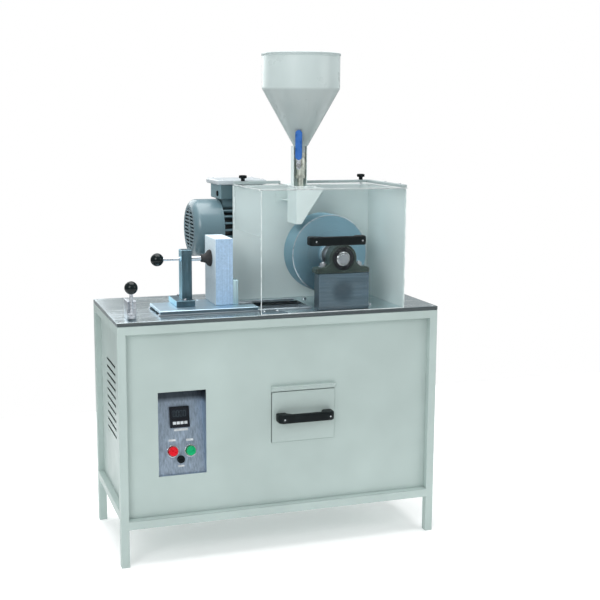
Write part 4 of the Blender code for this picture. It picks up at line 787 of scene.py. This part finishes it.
def zero_digit(left, bottom, out):
    """The six bars of a seven-segment zero."""
    width, height = 0.0062, 0.0150
    bar = width * 0.18
    half = bar / 2
    right, centre, top = left + width, bottom + height / 2, bottom + height
    bars = [
        (left + bar, top - bar, right - bar, top),
        (right - bar, centre + half, right, top - half),
        (right - bar, bottom + half, right, centre - half),
        (left + bar, bottom, right - bar, bottom + bar),
        (left, bottom + half, left + bar, centre - half),
        (left, centre + half, left + bar, top - half),
    ]
    return [block((x0, y0, out), (x1, y1, out + 0.0002)) for x0, y0, x1, y1 in bars]


def push_button(name, look):
    """A domed cap in a chrome bezel."""
    spot = BUTTON_SPOTS[name]
    panel, rim, outer, seat = 0.0003, 0.0035, 0.0150, 0.0120
    bezel = [(panel, 0.0116), (panel, outer), (rim, outer), *arc((rim, outer - 0.0015), 0.0015, 90, 20, 5)]
    bezel += [(0.0050, 0.0126), (0.0046, seat), (0.0015, seat), (0.0015, 0.0076), (panel, 0.0076)]
    barrel = rod(-0.025, panel, 0.011, 0.0072)
    ring = joined(turned("Z", spot, bezel, 64), turned("Z", spot, barrel, 32))
    piece(f"{name}_bezel_finished", on_panel(ring), "chrome", "cabinet", [f"{name}_button_bezel"])
    stem, face = 0.0069, 0.0112
    cap = [(-0.020, 0.0), (-0.020, stem), (0.006, stem), (0.006, 0.0112), (0.0064, 0.0115), (face, 0.0115)]
    cap += [*arc((face, 0.0095), 0.0020, 80, 10, 5), (0.0133, 0.0085), (0.0129, 0.0060), (0.0127, 0.0)]
    button = on_panel(turned("Z", spot, cap, 56))
    piece(f"{name}_cap_finished", button, look, f"{name}_button", [f"{name}_button_cap"])


# Handles and knobs


def bow_handle(node):
    """A moulded bridge handle with a rounded grip and two capped screws."""
    low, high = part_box(node)
    centre = (low + high) / 2
    half = (high.x - low.x) / 2
    proud, foot, grip, corner, fillet = 0.0022, 0.026, 0.0135, 0.014, 0.010
    front = low.y - high.y + proud
    side = half - foot - 0.001
    end = front + corner
    outer = [(-half, 0.0), (-half, end), *arc((corner - half, end), corner, 195, 255, 4)]
    outer += [*arc((half - corner, end), corner, -75, -15, 4), (half, end), (half, 0.0)]
    inner = [(half - foot, 0.0), (side, front + grip + fillet)]
    for angle in (22.5, 45.0, 67.5):
        share = math.sin(math.radians(angle))
        inner.append((side - fillet * share, front + grip + fillet * (1 - share)))
    inner += [(-x, y) for x, y in reversed(inner)]
    shape = soften(prism(without_repeats([*outer, *inner]), "Z", low.z, high.z), 0.0042, 4, 60)
    body = BODY_OF[node]
    shape = moved(shape, Matrix.Translation((centre.x, high.y, 0)))
    piece(f"{node}_grip", shape, "black_plastic", body, [node], sharp=50)

    face = low.y + proud
    spots = [(centre.x + way * (half - 0.0135), centre.z) for way in (-1, 1)]
    cap = placed(face, [(0.001, 0.0), (0.001, 0.0062), (-0.0002, 0.0062), (-0.0008, 0.0054), (-0.0008, 0.0)])
    piece(f"{node}_screw_caps", joined(*[turned("Y", spot, cap, 32) for spot in spots]), "gloss_black", body)
    heads = [socket_screw((x, face - 0.0004, z), FORWARD, 0.0020) for x, z in spots]
    piece(f"{node}_screws", joined(*heads), "screw_steel", body)


def ball_knob(node, axis, way):
    """A pressed bakelite ball with a flat on the side, one way along the axis, where the rod enters."""
    low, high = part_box(node)
    centre = (low + high) / 2
    radius = (high.y - low.y) / 2
    index = "XYZ".index(axis)
    along = (low[index] + radius) if way > 0 else (high[index] - radius)
    flat = math.degrees(math.asin(0.0052 / radius))
    profile = [(along + way * u, max(v, 0.0)) for u, v in arc((0, 0), radius, 180, flat, 32)]
    end = profile[-1][0]
    profile += [(end - way * 0.0006, 0.0044), (end - way * 0.004, 0.0044), (end - way * 0.004, 0.0)]
    spot = [centre[i] for i in range(3) if i != index]
    shape = turned(axis, spot, profile, 56)
    piece(f"{node}_finished", shape, "gloss_black", BODY_OF[node], [node], sharp=45, weighted=False)


def thumb_knob(side):
    """A lobed knob on a threaded stud."""
    node = f"thumb_knob_{side}"
    low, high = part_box(node)
    x, y = (low.x + high.x) / 2, (low.y + high.y) / 2
    base = high.z - 0.0155
    outline = []
    for angle in (2 * math.pi * i / 96 for i in range(96)):
        radius = 0.0097 + 0.0004 * math.cos(16 * angle)
        outline.append((x + radius * math.cos(angle), y + radius * math.sin(angle)))
    head = soften(prism(outline, "Z", base + 0.0075, base + 0.0148), 0.0012, 3, 60)
    cap = [(0.0146, 0.0), (0.0146, 0.0075), (0.0153, 0.0068), (0.0155, 0.0)]
    neck = [(0.0003, 0.0), (0.0003, 0.0052), (0.006, 0.0050), (0.0078, 0.0080), (0.0078, 0.0)]
    whole = joined(head, *[turned("Z", (x, y), placed(base, profile), 40) for profile in (cap, neck)])
    piece(f"{node}_head", whole, "black_plastic", BODY_OF[node], [node])
    pitch, root, crest, length = 0.001, 0.0026, 0.0030, 0.016
    stud = [(base - length, 0.0), (base - length, 0.0022)]
    for i in range(16):
        z = base - length + 0.0005 + i * pitch
        stud += [(z, root), (z + pitch / 2, crest)]
    stud += [(base + pitch, root), (base + pitch, 0.0)]
    piece(f"{node}_stud", turned("Z", (x, y), stud, 20), "screw_steel", BODY_OF[node])


# Drawer and guard


def drawer():
    rounded("drawer_tray", "cabinet_paint", 0.0005, 2)
    bow_handle("drawer_handle")


def guard():
    rounded("guard_shield", "guard_paint", 0.0004, 2)
    guard_lid()
    bow_handle("guard_handle")
    guard_panes()
    for side in ("left", "right"):
        thumb_knob(side)


def guard_panes():
    """The front pane and the shorter one on its left, with their bright cut edges."""
    low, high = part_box("guard_pane")
    front = block((low.x, low.y, low.z), (high.x, low.y + PANE, high.z), 0.0003, 1)
    left = block((low.x, low.y + PANE, SIDE_PANE_BOTTOM), (low.x + PANE, high.y, high.z), 0.0003, 1)
    piece("guard_pane_sheets", joined(front, left), "clear_acrylic", "hood", ["guard_pane"])
    edge, over = 0.0011, 0.0001
    near, back, top = low.y - over, low.y + PANE + over, high.z - 0.001
    strips = [
        ((low.x - over, near, low.z), (low.x + edge, back, top)),
        ((high.x - edge, near, low.z), (high.x + over, back, top)),
        ((low.x, near, low.z - over), (high.x, back, low.z + edge)),
        ((low.x - over, high.y - edge, SIDE_PANE_BOTTOM), (low.x + PANE + over, high.y + over, top)),
    ]
    edge_strips("guard_pane_edges", "acrylic_edge", "hood", strips)


def guard_lid():
    """A clear sheet with painted rails along its rear edge and its right edge, and a slot for the pipe."""
    low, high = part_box("guard_lid")
    top = low.z + PANE
    left, right, front = LID_SLOT
    outline = [(low.x, low.y), (high.x, low.y), (high.x, high.y), (right, high.y)]
    outline += [(right, front), (left, front), (left, high.y), (low.x, high.y)]
    sheet = prism(outline, "Z", low.z, top, 0.0003, 1)
    piece("guard_lid_sheet", sheet, "clear_acrylic", "hood", ["guard_lid"])

    inset = 0.0008
    rear_low, rear_high = high.y - LID_RAIL, high.y - inset
    rails = [
        ((low.x + inset, rear_low, top), (left - inset, rear_high, high.z)),
        ((right + inset, rear_low, top), (high.x - inset, rear_high, high.z)),
        ((high.x - LID_RAIL, low.y + inset, top), (high.x - inset, rear_low + 0.0006, high.z)),
    ]
    shapes = [block(rail_low, rail_high, 0.0011, 3) for rail_low, rail_high in rails]
    piece("guard_lid_rails", joined(*shapes), "rail_paint", "hood", ["guard_lid"])

    edge, z0, z1 = 0.0010, low.z + 0.0002, top + 0.0001
    strips = [
        ((low.x, low.y, z0), (high.x, low.y + edge, z1)),
        ((low.x, low.y + edge, z0), (low.x + edge, high.y, z1)),
        ((left - edge, front, z0), (left, high.y, z1)),
        ((right, front, z0), (right + edge, high.y, z1)),
        ((left - edge, front - edge, z0), (right + edge, front, z1)),
    ]
    edge_strips("guard_lid_edges", "acrylic_edge", "hood", strips)
    heads = [socket_screw((high.x - LID_RAIL / 2, low.y + y, high.z), UP, 0.0026) for y in (0.03, 0.12)]
    piece("guard_lid_screws", joined(*heads), "screw_steel", "hood")


# Feed


def hopper():
    low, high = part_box("hopper")
    x, y, top = (low.x + high.x) / 2, (low.y + high.y) / 2, high.z
    wall, neck, lip = 0.0015, 0.012, 0.0031
    shoulder, cone = 1.132, 0.9923
    radius = (high.x - low.x) / 2 - wall
    inside, groove = radius - wall, radius - 0.0007
    profile = [(cone - 0.017, neck - wall), (cone - 0.017, neck), (cone - 0.001, neck), (cone, 0.0175)]
    profile += [(cone + 0.0006, 0.0183), (shoulder - 0.003, radius - 0.0019)]
    profile += [(shoulder, radius - 0.0002), (shoulder + 0.003, radius)]
    profile += [(top - 0.0085, radius), (top - 0.0078, groove), (top - 0.0066, groove)]
    profile += [(top - lip + u, radius + 0.48 * v) for u, v in arc((0, 0), lip, 180, 0, 8)]
    profile += [(top, radius - 0.0006), (top - 0.0006, inside), (shoulder, inside)]
    profile += [(cone + 0.003, 0.0185), (cone + 0.001, neck - wall)]
    shell = turned("Z", (x, y), profile, 128)
    piece("hopper_shell", shell, "hopper_paint", "cabinet", ["hopper"], sharp=30, weighted=False)
    bead = [(top - 0.0060, radius - 0.0002), (top - 0.0052, radius + 0.0013), (top - 0.0028, radius + 0.0015)]
    bead += [(top - 0.0012, radius + 0.0013), (top - 0.0008, radius - 0.0002)]
    # the bead takes the darker rail paint as a painted shadow line along the rim
    piece("hopper_rim_bead", turned("Z", (x, y), bead, 128), "rail_paint", sharp=60, weighted=False)
    seam_low = (x + radius - 0.0005, y - 0.003, shoulder + 0.004)
    seam = block(seam_low, (x + radius + 0.0006, y + 0.003, top - 0.009), 0.0004, 1)
    piece("hopper_seam", seam, "hopper_paint")
    rounded("hopper_bracket", "column_paint", 0.0004, 2)
    rounded("flow_chute", "guard_paint", 0.0003, 1)


def valve():
    rounded("valve_body", "valve_nickel", 0.0004, 2, 34)
    rounded("valve_ball", "chrome", 0.0, 2, 34)
    valve_lever()
    height = 0.0085
    nuts = [prism(circle(VALVE_SPOT, 0.0140, 6), "Z", top - height, top, 0.0009, 2) for top in (0.972, 0.920)]
    piece("valve_hexagons", joined(*nuts), "valve_nickel")


def valve_lever():
    """A steel arm on the stem with a dipped blue grip over its upper part, drawn square to Y."""
    place = Matrix.Translation((*VALVE_SPOT, VALVE_Z)) @ Matrix.Rotation(math.radians(-25), 4, "Z")
    front, back = -0.047, -0.043
    half, bottom, tip = 0.0085, 0.0135, 0.087
    grip = arc((0, bottom + half), half, 180, 360, 12) + arc((0, tip - half), half, 0, 180, 12)
    sleeve = soften(prism(without_repeats(grip), "Y", front - 0.0004, back + 0.0004), 0.0017, 4, 60)
    piece("valve_lever_grip", moved(sleeve, place), "blue_vinyl", "valve", ["valve_lever"], sharp=60)
    narrow, hidden_end = 0.0056, 0.020
    arm = [*arc((0, -0.0044), narrow, 180, 360, 12), (narrow, hidden_end), (-narrow, hidden_end)]
    bar = prism(arm, "Y", front + 0.0008, back - 0.0008, 0.0004, 2)
    piece("valve_lever_arm", moved(bar, place), "bright_steel", "valve", ["valve_lever"])


# Wheel and bearing


def wheel():
    centre = middle("abrasion_wheel")
    spot = (centre.x, centre.z)
    low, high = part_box("abrasion_wheel")
    radius = (high.z - low.z) / 2
    front, rear = low.y + 0.012, high.y - 0.012
    bore, boss, chamfer = 0.0153, 0.0280, 0.0016
    profile = [(low.y, bore + 0.0006), (low.y, 0.0272), (low.y + 0.0008, boss), (front - 0.0010, boss)]
    profile += [(front, 0.0290), (front, radius * 0.60), (front + 0.0006, radius * 0.605)]
    profile += [(front + 0.0006, radius * 0.615), (front, radius * 0.62), (front, radius - chamfer)]
    profile += [(front + 0.0005, radius - 0.0005), (front + chamfer, radius), (rear - chamfer, radius)]
    profile += [(rear - 0.0005, radius - 0.0005), (rear, radius - chamfer), (rear, 0.0290)]
    profile += [(rear + 0.0010, boss), (high.y, boss), (high.y, bore), (low.y + 0.0006, bore)]
    rim = turned("Y", spot, profile, 160)
    piece("abrasion_wheel_finished", rim, "wheel_steel", "wheel", ["abrasion_wheel"], sharp=32)
    # a bright steel ring along the wheel's front edge as a painted highlight
    edge = [(front - 0.0002, radius - 0.0024), (front + 0.0004, radius - 0.0004)]
    edge += [(front + 0.0018, radius - 0.00005), (front + 0.0018, radius - 0.0024)]
    piece("wheel_edge_highlight", turned("Y", spot, edge, 160), "bright_steel", "wheel")
    hub = [(low.y - 0.0001, bore + 0.0004), (low.y - 0.0001, 0.0268), (low.y + 0.0008, 0.0282)]
    hub += [(front + 0.0001, 0.0282), (front + 0.0001, bore + 0.0004)]
    piece("wheel_hub", turned("Y", spot, hub, 64), "shaft_steel", "wheel")
    grub = socket_screw((centre.x, low.y + 0.006, centre.z + 0.0275), UP, 0.0024)
    piece("wheel_grub_screw", grub, "screw_steel", "wheel")
    rounded("wheel_shaft", "shaft_steel", 0.0, 1)
    rounded("worm_wheel", "bronze", 0.0004, 1)
    rounded("motor_rotor", "ground_steel", 0.0, 1)


def bearing():
    rounded("front_support_block", "block_steel", 0.0006, 2, angle=35)
    centre = middle("bearing_inner_ring")
    low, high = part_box("pillow_block")
    x, z, base, front = centre.x, centre.z, low.z, low.y
    left = [(x - 0.039, base + 0.0215), (x - 0.047, base + 0.0165)]
    left += [(low.x + 0.006, base + 0.0145), (low.x, base + 0.012)]
    right = [(high.x, base), (high.x, base + 0.012), (high.x - 0.006, base + 0.0145)]
    right += [(x + 0.047, base + 0.0165), (x + 0.039, base + 0.0215)]
    outline = [(low.x, base), *right, *arc((x, z), high.z - z, -14, 194, 40), *left]
    casting = soften(prism(outline, "Y", front, high.y), 0.0030, 4, 45)
    casting = carved(casting, turned("Y", (x, z), rod(front - 0.01, front + 0.006, 0.029), 64))
    piece("pillow_block_casting", casting, "bearing_iron", "cabinet", ["pillow_block"])

    race = [(0.0045, 0.0176), (0.0020, 0.0176), (0.0020, 0.0235), (0.0036, 0.0250)]
    race += [(0.0036, 0.0288), (0.0059, 0.0288), (0.0059, 0.0176)]
    # the outer ring is black as painted shade in the recess round the inner ring
    piece("bearing_outer_ring", turned("Y", (x, z), placed(front, race), 64), "counter_black")
    ring_low, ring_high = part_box("bearing_inner_ring")
    bore, outer = 0.0129, 0.0170
    ring = [(ring_low.y, bore), (ring_low.y, 0.0160), (ring_low.y + 0.0008, outer), (ring_high.y, outer)]
    ring = turned("Y", (x, z), [*ring, (ring_high.y, bore)], 64)
    piece("bearing_inner_ring_finished", ring, "chrome", "wheel", ["bearing_inner_ring"])
    grubs = []
    for angle in (0.5, 2.6):
        way = Vector((math.sin(angle), 0, math.cos(angle)))
        grubs.append(socket_screw(Vector((x, ring_low.y + 0.0035, z)) + way * 0.0166, way, 0.0016))
    piece("bearing_grub_screws", joined(*grubs), "screw_steel", "wheel")

    y = (low.y + high.y) / 2
    bolts = [hex_bolt((x + side * 0.0467, y, base + 0.0150), UP, 0.0088, nut=0.0072) for side in (-1, 1)]
    nipple = [(0.028, 0.0), (0.028, 0.003), (0.0325, 0.003), (0.0335, 0.0018), (0.0348, 0.0020), (0.0354, 0.0)]
    nipple = turned("Z", (x + 0.020, y), placed(z, nipple), 16)
    piece("bearing_bolts", joined(*bolts, nipple), "screw_steel")


# Motor


def motor():
    motor_cowl()
    rounded("motor_body", "fin_enamel", 0.0006, 2, angle=55)
    rounded("gearbox_housing", "gear_enamel", 0.0014, 3, angle=55)
    terminal_box()
    plain("motor_lead", "lead_rubber")
    motor_fasteners()


def motor_cowl():
    """The fan cowl, domed towards the left, and the bars of its grille."""
    low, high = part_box("motor_cowl")
    y, z, left, right = (low.y + high.y) / 2, (low.z + high.z) / 2, low.x, high.x
    radius = (high.z - low.z) / 2
    grille, wall, bend_share = 0.0545, 0.0015, 0.95
    bend = radius - grille
    inside = radius - wall
    profile = [(left + 0.0022, grille - 0.0022), (left + 0.0004, grille - 0.0016), (left, grille)]
    dome = arc((0, 0), bend, 172.5, 90, 11)
    profile += [(left + bend_share * (bend + u), grille + v) for u, v in dome]
    profile += [(right - 0.007, radius), (right - 0.0068, radius - 0.0006), (right - 0.0058, radius - 0.0006)]
    profile += [(right - 0.0055, radius), (right, radius), (right, inside), (left + bend_share * bend, inside)]
    profile += [(left + 0.010, grille + bend * 0.55), (left + 0.0028, grille - 0.0010)]
    cowl = turned("X", (y, z), profile, 112)
    piece("motor_cowl_shell", cowl, "motor_enamel", "cabinet", ["motor_cowl"], sharp=40, weighted=False)

    bars = []
    count, pitch, half = 11, 0.0092, 0.0024
    for i in range(count):
        rise = (i - (count - 1) / 2) * pitch
        reach = math.sqrt((grille - 0.0010) ** 2 - rise**2)
        bar_low = (left + 0.0008, y - reach, z + rise - half)
        bars.append(block(bar_low, (left + 0.0040, y + reach, z + rise + half), 0.0009, 2))
    tall = grille - 0.002
    bars.append(block((left + 0.0012, y - 0.0035, z - tall), (left + 0.0036, y + 0.0035, z + tall), 0.0008, 2))
    hub = [(0.0002, 0.0), (0.0004, 0.0085), (0.0016, 0.0100), (0.0040, 0.0100), (0.0040, 0.0)]
    hub = turned("X", (y, z), placed(left, hub), 32)
    piece("motor_grille", joined(*bars, hub), "motor_enamel")


def terminal_box():
    """The box on the motor: a body painted dark as painted shade under the pale overhanging lid, a gland and a
    blanking plug.
    """
    low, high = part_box("terminal_box")
    lid_bottom = high.z - 0.013
    side, end = low.x + 0.011, high.y
    body = block((side, low.y + 0.006, low.z), (high.x - 0.006, TERMINAL_REAR, lid_bottom + 0.001), 0.0030, 4)
    piece("terminal_box_body", body, "terminal_enamel", "cabinet", ["terminal_box"])
    lid = block((low.x, low.y, lid_bottom), (high.x, TERMINAL_REAR + 0.006, high.z), 0.0040, 5)
    piece("terminal_box_lid", lid, "box_enamel", "cabinet", ["terminal_box"])
    gland = prism(circle(GLAND_SPOT, 0.0095, 6), "Y", TERMINAL_REAR - 0.001, end - 0.004, 0.0008, 2)
    nut = [(0.0045, 0.0041), (0.0045, 0.0080), (0.0010, 0.0074), (0.0, 0.0055), (0.0, 0.0041)]
    whole = joined(gland, turned("Y", GLAND_SPOT, placed(end, nut, -1), 32))
    piece("terminal_gland", whole, "black_plastic", "cabinet", ["terminal_box"])
    plug = [(0.0005, 0.0), (0.0005, 0.0072), (-0.0022, 0.0072), (-0.0030, 0.0062), (-0.0030, 0.0)]
    piece("terminal_plug", turned("X", PLUG_SPOT, placed(side, plug), 24), "black_plastic")


def motor_fasteners():
    """Screws of the terminal box's lid, bolts of the gearbox and its feet, and the rating plate."""
    low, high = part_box("terminal_box")
    screws = []
    for x in (low.x + 0.0165, high.x - 0.008):
        for y in (low.y + 0.009, TERMINAL_REAR - 0.003):
            screws.append(pan_screw((x, y, high.z), UP, 0.0034))
    centre = middle("wheel_shaft")
    bolt_circle = 0.050
    for angle in (2 * math.pi * i / 6 + 0.2 for i in range(6)):
        x, z = centre.x + bolt_circle * math.cos(angle), centre.z + bolt_circle * math.sin(angle)
        for face, way in ((FRONT + 0.286, -1), (FRONT + 0.354, 1)):
            screws.append(hex_bolt((x, face, z), (0, way, 0), 0.0042, False))
    low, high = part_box("gearbox_housing")
    for x in (low.x + 0.012, high.x - 0.012):
        for y in (low.y + 0.014, high.y - 0.014):
            screws.append(hex_bolt((x, y, 0.608), UP, 0.0060))
    piece("motor_fasteners", joined(*screws), "screw_steel")
    plate = block((0.000, FRONT + 0.3895, 0.760), (0.060, FRONT + 0.3905, 0.795), 0.0002, 1)
    piece("motor_rating_plate", plate, "label_plate")


# Trolley and clamp


def trolley():
    rounded("trolley_track", "bright_steel", 0.0004, 1)
    rounded("trolley_plate", "trolley_steel", 0.0006, 2, angle=35)
    rounded("clamp_post", "ground_steel", 0.0006, 2, angle=35)
    rounded("specimen_stop", "stop_steel", 0.0005, 2, angle=35)
    rounded("test_specimen", "concrete", 0.0010, 3, angle=35)
    rounded("lever_block", "bright_steel", 0.0006, 2, angle=35)
    rounded("lock_lever", "bright_steel", 0.0003, 1)
    rounded("clamp_spindle", "bright_steel", 0.0, 1)
    ball_knob("clamp_ball_knob", "X", 1)
    ball_knob("lock_lever_ball", "Z", -1)
    clamp_foot()
    low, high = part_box("clamp_post")
    x = (low.x + high.x) / 2
    screws = [socket_screw((x, y, 0.621), UP, 0.0040) for y in (low.y + 0.009, high.y - 0.009)]
    piece("clamp_post_screws", joined(*screws), "screw_steel", "trolley")


def clamp_foot():
    """A rubber bell that widens towards the specimen and ends in three ridges."""
    low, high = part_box("clamp_foot")
    y, z, left, right = (low.y + high.y) / 2, (low.z + high.z) / 2, low.x, high.x
    rim, bore = (high.z - low.z) / 2, 0.0063
    bell = [(0.0, bore), (0.0, 0.0084), (0.0008, 0.0093), (0.0060, 0.0101)]
    bell += [(0.0100, 0.0112), (0.0130, 0.0131), (0.0158, 0.0162), (0.0176, 0.0184)]
    for i in range(3):
        start, radius = 0.0180 + i * 0.0020, rim - 0.0014 + i * 0.0007
        bell += [(start, radius - 0.0014), (start + 0.0006, radius - 0.0002)]
        bell += [(start + 0.0012, radius), (start + 0.0017, radius - 0.0005)]
    profile = placed(left, bell)
    profile += [(right - 0.0005, rim - 0.0008), (right, rim - 0.0016), (right, 0.0)]
    profile += [(left + 0.009, 0.0), (left + 0.009, bore)]
    foot = turned("X", (y, z), profile, 72)
    node, body = "clamp_foot", "clamp_slider"
    piece(f"{node}_finished", foot, "black_rubber", body, [node], sharp=50, weighted=False)


# Under the table


def counterweight():
    rounded("counterweight", "weight_iron", 0.0, 1)
    rounded("pulley", "bright_steel", 0.0, 1)
    rounded("pulley_bracket", "bright_steel", 0.0003, 1)
    plain("cable_run", "wire_rope")
    plain("cable_drop", "wire_rope")


# Studio


def studio():
    """A white floor, a soft sky that the camera sees as plain white, and four lamps."""
    side, front, rear = 2.4, -3.2, 1.25
    mesh = bpy.data.meshes.new("floor")
    ground = [(-side, front, 0), (side, front, 0), (side, rear, 0), (-side, rear, 0)]
    mesh.from_pydata(ground, [], [(0, 1, 2, 3)])
    look = Finish("studio_floor", (0.90, 0.90, 0.90), 0.75, Emission_Color=WHITE, Emission_Strength=0.22)
    look.rough(look.span(look.noise(3.0), 0.7, 0.85))
    mesh.materials.append(look.material)
    linked("floor", mesh)

    world = bpy.data.worlds.new("studio")
    world.use_nodes = True
    sky = NodeTree(world.node_tree)
    soft = sky.tree.nodes["Background"]
    soft.inputs["Color"].default_value = (0.97, 0.99, 1.0, 1.0)
    direction = sky.node("SeparateXYZ", {"Vector": sky.node("TexCoord").outputs["Generated"]})
    sky.link(sky.span(direction.outputs["Z"], 0.30, 0.62, -0.1, 0.9), soft.inputs["Strength"])
    white = sky.node("Background", {"Color": WHITE, "Strength": 1.0})
    seen = sky.node("LightPath").outputs["Is Camera Ray"]
    mix = sky.node("MixShader", {"Fac": seen, 1: soft.outputs["Background"], 2: white.outputs["Background"]})
    sky.link(mix.outputs["Shader"], sky.tree.nodes["World Output"].inputs["Surface"])
    bpy.context.scene.world = world

    lamp("key_light", (-2.2, -2.6, 2.2), (0.0, 0.0, 0.55), 1.6, 44.0)
    lamp("fill_light", (2.6, -1.8, 1.6), (0.0, 0.0, 0.60), 1.6, 14.0)
    lamp("top_light", (0.0, 0.1, 3.0), (0.0, 0.0, 0.6), 2.4, 75.0)
    lamp("rear_light", (-0.8, 2.6, 2.0), (0.0, 0.0, 0.7), 2.0, 22.0)


def lamp(name, place, target, size, power):
    data = bpy.data.lights.new(name, "AREA")
    data.shape = "SQUARE"
    data.size = size
    data.energy = power
    light = linked(name, data)
    light.location = place
    light.rotation_euler = (Vector(target) - Vector(place)).to_track_quat("-Z", "Y").to_euler()


def camera():
    """The photograph's point of view."""
    yaw, pitch, roll = (math.radians(angle) for angle in (-18.98, 90 - 9.37, 0.34))
    data = bpy.data.cameras.new("camera")
    data.lens = 65.99
    data.sensor_width = 36.0
    data.clip_end = 50.0
    made = linked("camera", data)
    made.location = (-0.81485, -2.47886 + FRONT, 1.05959)
    turn = Matrix.Rotation(yaw, 4, "Z") @ Matrix.Rotation(pitch, 4, "X") @ Matrix.Rotation(roll, 4, "Z")
    made.rotation_euler = turn.to_euler()
    bpy.context.scene.camera = made


camera()
studio()
cabinet()
control_panel()
drawer()
guard()
hopper()
valve()
wheel()
bearing()
motor()
trolley()
counterweight()
bpy.context.scene.view_settings.view_transform = "Standard"
